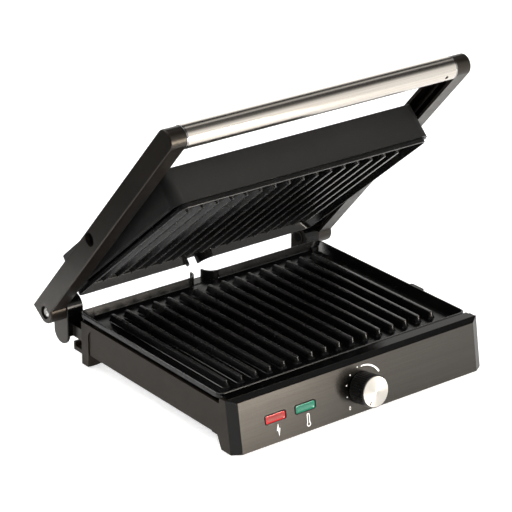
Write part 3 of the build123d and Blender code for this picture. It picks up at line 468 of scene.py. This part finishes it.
# Thin glass, seen only when the lens is off.
lamp_glass = polished("neon lamp glass", "#c0ad99", "#d2c2b0", 0.08)
print(len(bpy.data.materials), "materials")

# %% [markdown]
# ## Easing the edges
# No moulded or pressed edge is a perfect corner. A copy of the CAD part is merged, its flat
# triangles are joined back into faces, and a small bevel rounds every sharp edge. The CAD part
# stays hidden underneath as the shape that collides.


# %% Copy a CAD part with eased edges
def finish_mesh(name, mesh, material, body, replaced=(), smooth=40.0):
    """Give a mesh its material and shading, and let it ride on its body."""
    mesh.materials.clear()
    mesh.materials.append(material)
    mesh.shade_smooth()
    mesh.set_sharp_from_angle(angle=radians(smooth))
    work = loose_object(name, mesh)
    weigh = work.modifiers.new("weigh", "WEIGHTED_NORMAL")
    weigh.keep_sharp = True
    piece = bpy.data.objects.new(name, settled(work, name))
    bpy.context.scene.collection.objects.link(piece)
    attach(piece, body)
    if replaced:
        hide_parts(*replaced)
    return piece


def settled(work, name):
    """The evaluated object as a plain mesh, with the working object removed."""
    graph = bpy.context.evaluated_depsgraph_get()
    mesh = bpy.data.meshes.new_from_object(work.evaluated_get(graph))
    mesh.name = name
    bpy.data.objects.remove(work)
    return mesh


def loose_object(name, mesh):
    """A working object that isn't a piece yet."""
    made = bpy.data.objects.new(name, mesh)
    bpy.context.scene.collection.objects.link(made)
    return made


def beveled(name, mesh, width, segments=2, angle=25.0):
    """Round every edge sharper than an angle."""
    work = loose_object(name, mesh)
    modifier = work.modifiers.new("ease", "BEVEL")
    modifier.width = width * MM
    modifier.segments = segments
    modifier.limit_method = "ANGLE"
    modifier.angle_limit = radians(angle)
    modifier.use_clamp_overlap = True
    return settled(work, name)


def eased(node_name, material, width, segments=2):
    """Replace a CAD part by a copy with eased edges."""
    part = bmesh.new()
    part.from_mesh(frame["nodes"][node_name].data)
    bmesh.ops.remove_doubles(part, verts=part.verts, dist=0.002 * MM)
    bmesh.ops.dissolve_limit(part, angle_limit=radians(0.8), verts=part.verts, edges=part.edges)
    mesh = bpy.data.meshes.new(node_name + "_eased")
    part.to_mesh(mesh)
    part.free()
    body = frame["nodes"][node_name]["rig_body"]
    mesh = beveled(node_name + "_eased", mesh, width, segments)
    return finish_mesh(node_name + "_finished", mesh, material, body, [node_name])


# %% [markdown]
# The moulded base, its polished front frame, the hinge knuckles and the two painted arms keep the
# shape of the frame. Die-cast and moulded parts have edges rounded by about half a millimetre,
# the pressed steel panel only by a third.

# %% Moulded and painted parts
eased("base_housing", housing_black, 0.6)
eased("front_frame", gloss_black, 0.5, 3)
eased("fascia_panel", panel_steel, 0.3)
eased("arm_left", arm_black, 0.5)
eased("arm_right", arm_black, 0.5)
eased("upper_housing", head_black, 0.5)
eased("upper_top_panel", sheet_black, 0.25)
eased("lower_release", housing_black, 0.4)
eased("upper_release", housing_black, 0.4)
eased("cord_cleats", housing_black, 0.6)
eased("handle_tube", tube_steel, 0.2)
eased("handle_collar_left", collar_black, 0.3)
eased("handle_collar_right", collar_black, 0.3)
eased("knob_cap", knob_metal, 0.15)
eased("rubber_feet", rubber_black, 0.3)
eased("bottom_cover", sheet_black, 0.2)


# %% [markdown]
# A hinge knuckle is polished in front, where it faces the cook, and has the arm's satin paint on
# its outer cheek. One mesh carries both: faces that look sideways take the second material.


# %% Hinge knuckles
def two_finishes(piece, second):
    """Give the faces that look sideways a second material."""
    piece.data.materials.append(second)
    for face in piece.data.polygons:
        if abs(face.normal.x) > 0.7:
            face.material_index = 1


for side in ("left", "right"):
    two_finishes(eased("hinge_bracket_" + side, gloss_black, 0.6), arm_black)


# %% [markdown]
# ## Building from rings
# Many parts are a closed outline that changes as it rises: a tray, a rib, a turned cap. Rings of
# equally many points, joined by quads, describe them all. Rings run anticlockwise seen from
# above and go up the outside first, so every normal points out.


# %% Rings
def rounded_ring(half_x, low_y, high_y, radius, z, steps=6):
    """Points round a rounded rectangle, anticlockwise from above, in millimetres."""
    points = []
    for turn, (x, y) in enumerate((
        (half_x - radius, low_y + radius), (half_x - radius, high_y - radius),
        (radius - half_x, high_y - radius), (radius - half_x, low_y + radius),
    )):
        for step in range(steps + 1):
            angle = (turn - 1 + step / steps) * pi / 2
            points.append(Vector((x + radius * cos(angle), y + radius * sin(angle), z)))
    return points


def from_rings(name, rings, closed=False, caps=(True, True)):
    """A mesh of quads between rings, in metres."""
    count = len(rings[0])
    points = [point * MM for ring in rings for point in ring]
    pairs = list(range(len(rings) - 1)) + ([len(rings) - 1] if closed else [])
    faces = []
    for a in pairs:
        b = (a + 1) % len(rings)
        for i in range(count):
            j = (i + 1) % count
            faces.append((a * count + i, a * count + j, b * count + j, b * count + i))
    if caps[0] and not closed:
        faces.append(tuple(reversed(range(count))))
    if caps[1] and not closed:
        last = (len(rings) - 1) * count
        faces.append(tuple(range(last, last + count)))
    mesh = bpy.data.meshes.new(name)
    mesh.from_pydata(points, [], faces)
    mesh.update()
    return mesh


def lathe(name, profile, steps=64, closed=False):
    """Turn a profile of (radius, height) about Z."""
    rings = [
        [Vector((radius * cos(2 * pi * i / steps), radius * sin(2 * pi * i / steps), height))
         for i in range(steps)]
        for radius, height in profile
    ]
    return from_rings(name, rings, closed)


def block(name, low, high):
    """A plain box between two corners, in millimetres."""
    corners = [(low[0], low[1]), (high[0], low[1]), (high[0], high[1]), (low[0], high[1])]
    return from_rings(name, [[Vector((x, y, z)) for x, y in corners] for z in (low[2], high[2])])


def joined(name, meshes):
    """Several meshes as one."""
    whole = bmesh.new()
    for mesh in meshes:
        whole.from_mesh(mesh)
        bpy.data.meshes.remove(mesh)
    result = bpy.data.meshes.new(name)
    whole.to_mesh(result)
    whole.free()
    return result


# %% [markdown]
# ## Geometry Nodes for what repeats
# One small tree copies a shape onto points: ribs along a line, knurls round a circle, screws and
# prisms on a grid. Its inputs have names, and the result is realised into one plain mesh, so
# nothing procedural is left in the finished piece.


# %% Trees
def socket_in(tree, name, kind, default=None):
    """Add a named input to a tree and give its identifier."""
    made = tree.interface.new_socket(name=name, in_out="INPUT", socket_type=kind)
    if default is not None:
        made.default_value = default
    return made.identifier


def copies_tree(name, layout):
    """Copies of an object on points that a layout function makes."""
    tree = bpy.data.node_groups.new(name, "GeometryNodeTree")
    keys = {"Points": socket_in(tree, "Points", "NodeSocketGeometry"),
            "Shape": socket_in(tree, "Shape", "NodeSocketObject"),
            "Finish": socket_in(tree, "Finish", "NodeSocketMaterial"),
            "Count": socket_in(tree, "Count", "NodeSocketInt", 8),
            "Spacing": socket_in(tree, "Spacing", "NodeSocketFloat", 0.01)}
    tree.interface.new_socket(name="Result", in_out="OUTPUT", socket_type="NodeSocketGeometry")
    given = node(tree, "NodeGroupInput")
    points, rotation = layout(tree, given)
    shape = node(tree, "GeometryNodeObjectInfo", {"transform_space": "ORIGINAL"},
                 {"Object": given.outputs["Shape"]})
    placed = node(tree, "GeometryNodeInstanceOnPoints", inputs={
        "Points": points, "Instance": shape.outputs["Geometry"]})
    if rotation is not None:
        tree.links.new(rotation, placed.inputs["Rotation"])
    real = node(tree, "GeometryNodeRealizeInstances", inputs={"Geometry": placed.outputs[0]})
    painted = node(tree, "GeometryNodeSetMaterial", inputs={
        "Geometry": real.outputs[0], "Material": given.outputs["Finish"]})
    node(tree, "NodeGroupOutput", inputs={0: painted.outputs[0]})
    return tree, keys


def along_line(tree, given):
    """Evenly spaced points along X, centred on zero."""
    last = node(tree, "ShaderNodeMath", {"operation": "SUBTRACT"}, {0: given.outputs["Count"], 1: 1.0})
    span = node(tree, "ShaderNodeMath", {"operation": "MULTIPLY"},
                {0: last.outputs[0], 1: given.outputs["Spacing"]})
    start = node(tree, "ShaderNodeMath", {"operation": "MULTIPLY"}, {0: span.outputs[0], 1: -0.5})
    first = node(tree, "ShaderNodeCombineXYZ", inputs={"X": start.outputs[0]})
    step = node(tree, "ShaderNodeCombineXYZ", inputs={"X": given.outputs["Spacing"]})
    line = node(tree, "GeometryNodeMeshLine", {"mode": "OFFSET"}, {
        "Count": given.outputs["Count"], "Start Location": first.outputs[0], "Offset": step.outputs[0]})
    return line.outputs[0], None


def round_circle(tree, given):
    """Points on a circle about Z, each turned to face outwards. Spacing is the radius."""
    ring = node(tree, "GeometryNodeMeshCircle", inputs={
        "Vertices": given.outputs["Count"], "Radius": given.outputs["Spacing"]})
    index = node(tree, "GeometryNodeInputIndex")
    part = node(tree, "ShaderNodeMath", {"operation": "DIVIDE"},
                {0: index.outputs[0], 1: given.outputs["Count"]})
    angle = node(tree, "ShaderNodeMath", {"operation": "MULTIPLY"}, {0: part.outputs[0], 1: 2 * pi})
    turn = node(tree, "ShaderNodeCombineXYZ", inputs={"Z": angle.outputs[0]})
    return ring.outputs[0], turn.outputs[0]


def given_points(tree, given):
    """The points of the mesh that the tree is given."""
    return given.outputs["Points"], None


LINE_OF = copies_tree("copies along a line", along_line)
CIRCLE_OF = copies_tree("copies round a circle", round_circle)
POINTS_OF = copies_tree("copies on points", given_points)


def copies(name, tree_and_keys, shape, finish, count=0, spacing=0.0, points=()):
    """Run a tree and return its plain mesh. Spacing and points are in millimetres."""
    tree, keys = tree_and_keys
    source = loose_object(name + " shape", shape)
    start = bpy.data.meshes.new(name + " points")
    start.from_pydata([Vector(p) * MM for p in points], [], [])
    work = loose_object(name, start)
    modifier = work.modifiers.new("copies", "NODES")
    modifier.node_group = tree
    for key, value in (("Shape", source), ("Finish", finish), ("Count", count), ("Spacing", spacing * MM)):
        modifier[keys[key]] = value
    mesh = settled(work, name)
    bpy.data.objects.remove(source)
    print(name, len(mesh.polygons), "faces")
    return mesh


# %% [markdown]
# ## Grill plates
# Each plate is a die-cast tray: the outer skirt, a rounded rim, walls with draft so that the
# casting leaves its mould, and sixteen ribs with sloping flanks and rounded crests. The ribs
# stop short of the rim so that fat can run round them to the spout at the back. The same
# shape is used twice, and the upper one is turned over.

# %% Tray and ribs, rim at zero
BACK = 136.0
PLATE_DEPTH, RIM_SKIRT, PLATE_FLOOR = 8.3, 4.8, 3.0
RIB_COUNT, RIB_PITCH, RIB_FRONT, RIB_REAR = 16, 16.4, 45.0 - BACK, 231.0 - BACK
SPOUT_THROAT, SPOUT_CURVE, SPOUT_WALL = 5.5, 13.0, 2.0
SPOUT_FLOOR, SPOUT_LOW = -PLATE_DEPTH + 0.15, -PLATE_DEPTH - PLATE_FLOOR + 0.4
LUG_HALF, LUG_LONG = (3.0, 7.0), 4.5
LUG_PLACES = ((-122, 70 - BACK), (-122, 206 - BACK), (122, 108 - BACK))


def tray(half, front, rear):
    """The tray, with its spout cut through the rear wall."""
    outline = [  # inset at the sides, front and rear, corner radius, height
        (7.0, 7.6, 4.4, 6.5, -PLATE_DEPTH - PLATE_FLOOR),
        (1.6, 1.7, 1.4, 6.5, -RIM_SKIRT - 0.3),
        (0.2, 0.2, 0.2, 6.5, -RIM_SKIRT),
        (0.0, 0.0, 0.0, 6.5, -RIM_SKIRT + 0.3),
        (0.0, 0.0, 0.0, 6.5, -0.9),
        (0.12, 0.12, 0.12, 6.4, -0.45),
        (0.45, 0.45, 0.45, 6.2, -0.12),
        (0.9, 0.9, 0.9, 5.8, 0.0),
        (1.2, 1.2, 1.2, 5.6, -0.02),
        (1.6, 1.6, 1.6, 5.4, -0.3),
        (1.9, 1.9, 1.7, 5.4, -0.8),
        (7.5, 7.1, 3.2, 5.4, -PLATE_DEPTH + 1.0),
        (8.3, 7.8, 3.7, 5.0, -PLATE_DEPTH + 0.3),
        (9.4, 8.8, 4.8, 4.6, -PLATE_DEPTH),
    ]
    rings = [rounded_ring(half - side, front + fore, rear - aft, radius, z)
             for side, fore, aft, radius, z in outline]
    body = loose_object("tray", from_rings("tray", rings))
    wide = SPOUT_THROAT + SPOUT_CURVE - 0.4
    opening = block("cutter", (-wide, rear - 7, SPOUT_FLOOR), (wide, rear + 2, 2))
    cutter = loose_object("cutter", opening)
    cut = body.modifiers.new("spout", "BOOLEAN")
    cut.operation, cut.object, cut.solver = "DIFFERENCE", cutter, "EXACT"
    mesh = settled(body, "tray")
    bpy.data.objects.remove(cutter)
    return mesh


def spout(rear):
    """A funnel behind the rim: two curved cheeks and a floor between them."""
    mouth = rear - SPOUT_WALL
    parts = []
    for side in (-1, 1):
        rows = []
        for step in range(13):
            angle = pi / 2 * step / 12
            x = SPOUT_THROAT + SPOUT_CURVE * (1 - sin(angle))
            y = mouth + SPOUT_CURVE * (1 - cos(angle))
            out_x, out_y = sin(angle), cos(angle)      # out of the channel, into the wall
            wall = [(0.0, SPOUT_LOW), (SPOUT_WALL, SPOUT_LOW), (SPOUT_WALL, -0.5),
                    (SPOUT_WALL - 0.4, -0.05), (0.45, -0.05), (0.0, -0.5)]
            rows.append([Vector((side * (x + out_x * t), y + out_y * t, z)) for t, z in wall])
        cheek = from_rings("cheek", rows)
        if side > 0:
            cheek.flip_normals()
        parts.append(cheek)
    wide, end = SPOUT_THROAT + SPOUT_CURVE * 0.8, mouth + SPOUT_CURVE
    right = [(wide, mouth + 0.5), (SPOUT_THROAT + 1.4, end - 4.0), (SPOUT_THROAT + 0.8, end)]
    outline = [(-wide, mouth + 0.5), *right, *((-x, y) for x, y in right[:0:-1])]
    levels = [[Vector((x, y, z)) for x, y in outline] for z in (SPOUT_LOW, SPOUT_FLOOR)]
    return joined("spout", parts + [from_rings("floor", levels)])


def rib():
    """One rib: a long slot whose flanks slope in and whose crest is rounded."""
    half_widths = (
        (4.5, -8.4), (4.1, -8.15), (3.7, -7.6), (1.75, -2.5), (1.6, -2.15), (1.35, -2.0), (0.4, -1.98))
    return from_rings("rib", [
        rounded_ring(w, RIB_FRONT + 4 - w, RIB_REAR - 4 + w, w * 0.999, z, 5) for w, z in half_widths])


def plate(name, half, front, rear):
    """Tray, spout, ribs and the catches underneath."""
    front, rear = front - BACK, rear - BACK
    ribs = copies(name + " ribs", LINE_OF, rib(), plate_black, RIB_COUNT, RIB_PITCH)
    lug_low, lug_high = -PLATE_DEPTH - PLATE_FLOOR - LUG_LONG, -PLATE_DEPTH - 2
    across, along = LUG_HALF
    lugs = [block("lug", (x - across, y - along, lug_low), (x + across, y + along, lug_high))
            for x, y in LUG_PLACES]
    whole = joined(name, [tray(half, front, rear), spout(rear), ribs, *lugs])
    # Faces on the rib crests and the rim top that look up are marked for the painted highlight.
    crests = whole.attributes.new("crest", "BOOLEAN", "FACE")
    for face, crest in zip(whole.polygons, crests.data):
        x, y, z = face.center / MM
        on_rib = z > -2.6 and abs(x) < half - 15 and RIB_FRONT - 1 < y < RIB_REAR + 1
        crest.value = face.normal.z > 0.3 and (on_rib or z > -0.5)
    return whole


def paint_crest_highlight(piece):
    """Give the crests and the top of the rim the painted highlight."""
    piece.data.materials.append(crest_painted_highlight)
    for face, crest in zip(piece.data.polygons, piece.data.attributes["crest"].data):
        face.material_index = int(crest.value)


LOWER_RIM, UPPER_RIM = 53.0, 53.4
lower = plate("lower_plate_finished", half=147.6, front=25.2, rear=250.0)
lower.transform(Matrix.Translation((0, 0, LOWER_RIM * MM)))
paint_crest_highlight(finish_mesh("lower_plate_finished", lower, plate_black, "base", ["lower_plate"], 35))

upper = plate("upper_plate_finished", half=143.0, front=24.4, rear=252.3)
upper.transform(OPEN_LID @ Matrix.Translation((0, 0, UPPER_RIM * MM)) @ Matrix.Diagonal((1, 1, -1, 1)))
upper.flip_normals()
paint_crest_highlight(finish_mesh("upper_plate_finished", upper, plate_black, "head", ["upper_plate"], 35))

# A folded lip of sheet closes the corners under the lower plate, at the back.
LIP_X, LIP_HALF, LIP_FRONT, LIP_BACK, LIP_LOW, LIP_HIGH = 140.5, 6.0, 106.6, 107.4, 40.0, 48.0
corners = [block("lip", (x - LIP_HALF, LIP_FRONT, LIP_LOW), (x + LIP_HALF, LIP_BACK, LIP_HIGH))
           for x in (-LIP_X, LIP_X)]
finish_mesh("rear_lips", joined("rear_lips", corners), sheet_black, "base")


# %% [markdown]
# ## Control panel
# The knob's skirt is knurled so that a floury hand can grip it: forty rounded ridges round a
# plain core. Its cap is a turned aluminium disc with a pointer groove filled with black paint.

# %% Knob
CORE_RADIUS, KNOB_LOW, KNOB_HIGH = 15.1, 0.5, 19.7
RIDGES, RIDGE_PROUD = 40, 0.4
POINTER_HALF, POINTER_OUT, POINTER_ANGLE = (2.1, 0.7), 11.8, radians(-128)


def knurl():
    """One ridge along the knob's side, at the circle's rightmost point, fading out at both ends."""
    sections = []
    for height, grow in (
            (KNOB_LOW + 1.2, 0.0), (KNOB_LOW + 1.9, 1.0), (KNOB_HIGH - 2.2, 1.0), (KNOB_HIGH - 1.4, 0.0)):
        half = 0.40 + 0.40 * grow
        proud = RIDGE_PROUD * grow
        sections.append([Vector((x, y, height)) for x, y in (
            (-0.5, -half), (0.02, -half), (proud * 0.8, -half * 0.55), (proud, 0),
            (proud * 0.8, half * 0.55), (0.02, half), (-0.5, half))])
    return from_rings("knurl", sections)


core = lathe("knob core", [
    (6.0, KNOB_LOW + 8), (6.0, KNOB_LOW), (14.6, KNOB_LOW), (15.2, KNOB_LOW + 0.2), (15.45, KNOB_LOW + 0.7),
    (CORE_RADIUS, KNOB_LOW + 1.3), (CORE_RADIUS, KNOB_HIGH - 1.5), (15.45, KNOB_HIGH - 1.0),
    (15.4, KNOB_HIGH - 0.4), (15.15, KNOB_HIGH - 0.1), (14.95, KNOB_HIGH),
    (14.78, KNOB_HIGH - 0.1), (14.75, KNOB_HIGH - 1.0),
    (3.1, KNOB_HIGH - 1.0)], 120)
ridges = copies("knob ridges", CIRCLE_OF, knurl(), knob_black, RIDGES, CORE_RADIUS)
skirt = joined("knob_skirt_finished", [core, ridges])
skirt.transform(PANEL)
finish_mesh("knob_skirt_finished", skirt, knob_black, "knob", ["knob_skirt"])

cap_top = max((PANEL.inverted() @ v.co).z for v in frame["nodes"]["knob_cap"].data.vertices) / MM
long, wide = POINTER_HALF
pointer = block("pointer_paint", (-long, -wide, cap_top - 0.2), (long, wide, cap_top + 0.03))
pointer.transform(
    PANEL @ Matrix.Rotation(POINTER_ANGLE, 4, "Z") @ Matrix.Translation((POINTER_OUT * MM, 0, 0)))
print("knob cap ends", round(cap_top, 2), "mm out of the panel")
finish_mesh("pointer_paint", pointer, pointer_black, "knob")

# %% [markdown]
# The marks are screen-printed enamel, a few hundredths of a millimetre thick: a scale that
# thickens as the plates get hotter, a bolt under the power light and a thermometer under the
# ready light. They are drawn in the panel's own plane, with the knob's centre at zero.

# %% Printed marks
INK = 0.06


def print_shape(name, points):
    """A flat printed patch from its outline, anticlockwise."""
    return from_rings(name, [[Vector((x, y, z)) for x, y in points] for z in (0.0, INK)])


def print_outline(name, outer, inner):
    """A printed line between two outlines with equally many points."""
    rings = [[Vector((x, y, z)) for x, y in outline]
             for outline, z in ((outer, 0.0), (outer, INK), (inner, INK), (inner, 0.0))]
    return from_rings(name, rings, closed=True)


def arc_points(radius, start, end, steps):
    """Points along an arc about zero."""
    turns = [start + (end - start) * i / steps for i in range(steps + 1)]
    return [(radius * cos(turn), radius * sin(turn)) for turn in turns]


def arc_band(start, end, radius, width_start, width_end, steps=28):
    """Outline of a band along an arc that changes its width, angles in degrees."""
    outer, inner = [], []
    for i in range(steps + 1):
        part = i / steps
        angle = radians(start + (end - start) * part)
        half = (width_start + (width_end - width_start) * part) / 2
        outer.append(((radius + half) * cos(angle), (radius + half) * sin(angle)))
        inner.append(((radius - half) * cos(angle), (radius - half) * sin(angle)))
    return outer + inner[::-1]


def moved(points, x, y):
    """An outline in another place."""
    return [(x + px, y + py) for px, py in points]


def oval(half_x, half_y, steps=20):
    """Outline of an ellipse about zero."""
    turns = [2 * pi * i / steps for i in range(steps)]
    return [(half_x * cos(turn), half_y * sin(turn)) for turn in turns]


def thermometer(wide):
    """Outline of a thermometer: a round bulb below a stem with a round top."""
    bulb, stem = 2.3 + wide, 1.55 + wide
    stem_top, bulb_centre = 5.4, -3.6
    edge = acos(stem / bulb)
    top = arc_points(stem, 0.0, pi, 12)
    bottom = arc_points(bulb, pi - edge, 2 * pi + edge, 24)
    return moved(top, 0.0, stem_top) + moved(bottom, 0.0, bulb_centre)


BOLT = [(0.1, 6.0), (-1.9, -0.5), (-0.3, -0.5), (0.3, -6.4), (2.0, 1.3), (0.5, 1.3)]
DOTS = [(-18.0, -4.5), (-17.8, 6.5), (-12.4, 15.4), (-3.4, 20.7)]
OFF_MARK = (-15.8, -15.8)
RED_X, GREEN_X = -101.0, -66.8
BOLT_PLACE, THERMOMETER_PLACE = (RED_X + 2.0, -12.1), (GREEN_X + 2.3, -13.2)

dot = lathe("dot", [(0.65, 0.0), (0.65, INK), (0.1, INK)], 16)
marks = joined("printed_marks", [
    copies("scale dots", POINTS_OF, dot, white_ink, points=[(x, y, 0) for x, y in DOTS]),
    print_shape("scale", moved(arc_band(29.8, 96.0, 21.35, 1.9, 1.1), 3.0, -0.9)),
    print_outline("off mark", moved(oval(1.0, 1.7), *OFF_MARK), moved(oval(0.6, 1.25), *OFF_MARK)),
    print_shape("bolt", moved(BOLT, *BOLT_PLACE)),
    print_outline("thermometer", *(moved(thermometer(w), *THERMOMETER_PLACE) for w in (0.0, -0.75))),
])
marks.transform(PANEL)
finish_mesh("printed_marks", marks, white_ink, "base")

# %% [markdown]
# Each signal light is a clear coloured lens pushed into a black surround. Its face has a
# moulded grid of little pyramids that scatters the lamp behind it.

# %% Signal lights
LENS_X, LENS_Y, LENS_UP = 22.7, 8.0, 0.3
PRISM_PITCH, PRISMS_ACROSS, PRISMS_UP = 0.95, 19, 5


def light(name, x, rim, pad_painted_glow, slot):
    """Surround, lens and prism grid of one light."""
    place = PANEL @ Matrix.Translation((x * MM, LENS_UP * MM, 0))
    half_x, half_y = LENS_X / 2, LENS_Y / 2
    surround = from_rings("surround", [
        rounded_ring(half_x + grow, -half_y - grow, half_y + grow, 1.6 + grow, z)
        for grow, z in ((0.75, 0.0), (0.75, 0.5), (0.55, 0.75), (0.15, 0.75), (-0.1, 0.6), (-0.1, 0.0))
    ], closed=True)
    surround.transform(place)
    finish_mesh(name + "_surround", surround, gloss_black, "base")
    lens = from_rings("lens", [
        rounded_ring(half_x - inset, -half_y + inset, half_y - inset, 1.4, z)
        for inset, z in ((0.2, -8.7), (0.2, -0.2), (0.45, 0.05), (0.9, 0.1), (1.4, 0.1), (1.6, -0.1))])
    lens.transform(place)
    finish_mesh(name + "_finished", lens, rim, "base", [name])
    pyramid = from_rings("pyramid", [
        [Vector((s * w, t * w, z)) for s, t in ((-1, -1), (1, -1), (1, 1), (-1, 1))]
        for w, z in ((PRISM_PITCH * 0.49, -0.12), (PRISM_PITCH * 0.12, 0.1))])
    grid = [((i - (PRISMS_ACROSS - 1) / 2) * PRISM_PITCH, (j - (PRISMS_UP - 1) / 2) * PRISM_PITCH, 0)
            for i in range(PRISMS_ACROSS) for j in range(PRISMS_UP)]
    # The prisms carry the painted glow and the painted shade of the lens.
    prisms = copies(name + " prisms", POINTS_OF, pyramid, pad_painted_glow, points=grid)
    prisms.transform(place)
    finish_mesh(name + "_prisms", prisms, pad_painted_glow, "base", smooth=10)


light("red_lens", RED_X, red_rim, red_pad_painted_glow, "red_lens")
light("green_lens", GREEN_X, green_rim, green_pad_painted_glow, "green_lens")

# %% [markdown]
# ## Fixings
# Screws are pan heads with a cross recess. One head is modelled and copied onto the places of
# the CAD part it stands for. The hinge caps on the arms are the same shape, only larger.

# %% Screw heads
COVER_SCREW_Z, HINGE_CAP_X = 14.2, 170.2


def pan_head(radius, height, shank=0.0):
    """A domed head with a cross recess, its seat at zero and its top up."""
    head = loose_object("head", lathe("head", [
        (radius * 0.4, -shank - 0.01), (radius * 0.45, -0.01), (radius, 0.0),
        (radius, height * 0.35), (radius * 0.9, height * 0.7), (radius * 0.65, height * 0.93),
        (radius * 0.3, height), (radius * 0.05, height)], 32))
    arms = [block("arm", (-radius * a, -radius * b, height * 0.45), (radius * a, radius * b, height * 2))
            for a, b in ((0.55, 0.12), (0.12, 0.55))]
    for cutter in [loose_object("cutter", arm) for arm in arms]:
        cut = head.modifiers.new("recess", "BOOLEAN")
        cut.operation, cut.object, cut.solver = "DIFFERENCE", cutter, "EXACT"
    mesh = settled(head, "head")
    for left in [o for o in bpy.data.objects if o.name.startswith("cutter")]:
        bpy.data.objects.remove(left)
    return mesh


underside = copies("cover screw heads", POINTS_OF, pan_head(3.0, 1.7, 1.0), screw_steel, points=[
    (x, y - BACK, 0) for x in (-141, 141) for y in (40, 136, 224)])
underside.transform(Matrix.Translation((0, 0, COVER_SCREW_Z * MM)) @ Matrix.Diagonal((1, 1, -1, 1)))
underside.flip_normals()
finish_mesh("cover_screws_finished", underside, screw_steel, "base", ["cover_screws"])

cap = pan_head(4.9, 1.8)
caps = []
for side in (-1, 1):
    one = cap.copy()
    seat = Matrix.Translation((side * HINGE_CAP_X * MM, HINGE.y, HINGE.z))
    one.transform(seat @ Matrix.Rotation(side * pi / 2, 4, "Y"))
    caps.append(one)
bpy.data.meshes.remove(cap)
both = joined("hinge_caps_finished", caps)
finish_mesh("hinge_caps_finished", both, screw_steel, "lid", ["hinge_caps"])

# %% [markdown]
# The cord's gland is soft vinyl: a flange against the wall and a tapered boot with ribs round
# it, so that the cord bends gently where it leaves.

# %% Cord gland
CORD_X, CORD_Z, WALL_BACK = 62.0, 25.0, 242.5 - BACK
boot = lathe("boot", [
    (3.3, -2.6), (6.1, -2.6), (6.1, 0.0), (9.0, 0.0), (9.0, 1.9), (8.6, 2.4), (6.3, 2.6), (5.9, 3.0),
    (4.5, 20.6), (4.2, 21.0), (3.3, 21.0)], 48, closed=True)
band = lathe("band", [
    (4.0, -1.1), (5.1, -1.1), (5.6, -0.6), (5.6, 0.6), (5.1, 1.1), (4.0, 1.1)], 40, closed=True)
bands = copies("boot bands", POINTS_OF, band, rubber_black, points=[
    (0, 0, z) for z in (6.0, 9.4, 12.8, 16.2)])
gland = joined("cord_gland_finished", [boot, bands])
outlet = Matrix.Translation((CORD_X * MM, WALL_BACK * MM, CORD_Z * MM))
gland.transform(outlet @ Matrix.Rotation(-pi / 2, 4, "X"))
finish_mesh("cord_gland_finished", gland, rubber_black, "base", ["cord_gland"])

# %% [markdown]
# The rest of the CAD parts are inside or already have the right shape: pins, the heating
# elements, the reflectors, the thermostat. They only need their real finish.

# %% Inner parts
INNER = {
    "indicator_lamps": lamp_glass, "plate_support": sheet_black, "lower_element": element_steel,
    "upper_element": element_steel, "lower_reflector": reflector_sheet, "upper_reflector": reflector_sheet,
    "thermostat": control_brown, "terminal_block": ceramic_cream, "bracket_screws": screw_steel,
    "hinge_pins": pin_steel, "head_pins": pin_steel, "upper_carrier": reflector_sheet,
    "carrier_screws": screw_steel, "thermal_fuse": ceramic_cream, "knob_shaft": screw_steel,
}
for name, finish in INNER.items():
    part = frame["nodes"][name]
    part.data.materials.clear()
    part.data.materials.append(finish)
print("left as CAD:", [n for n, o in frame["nodes"].items() if not o.hide_render and n not in INNER])
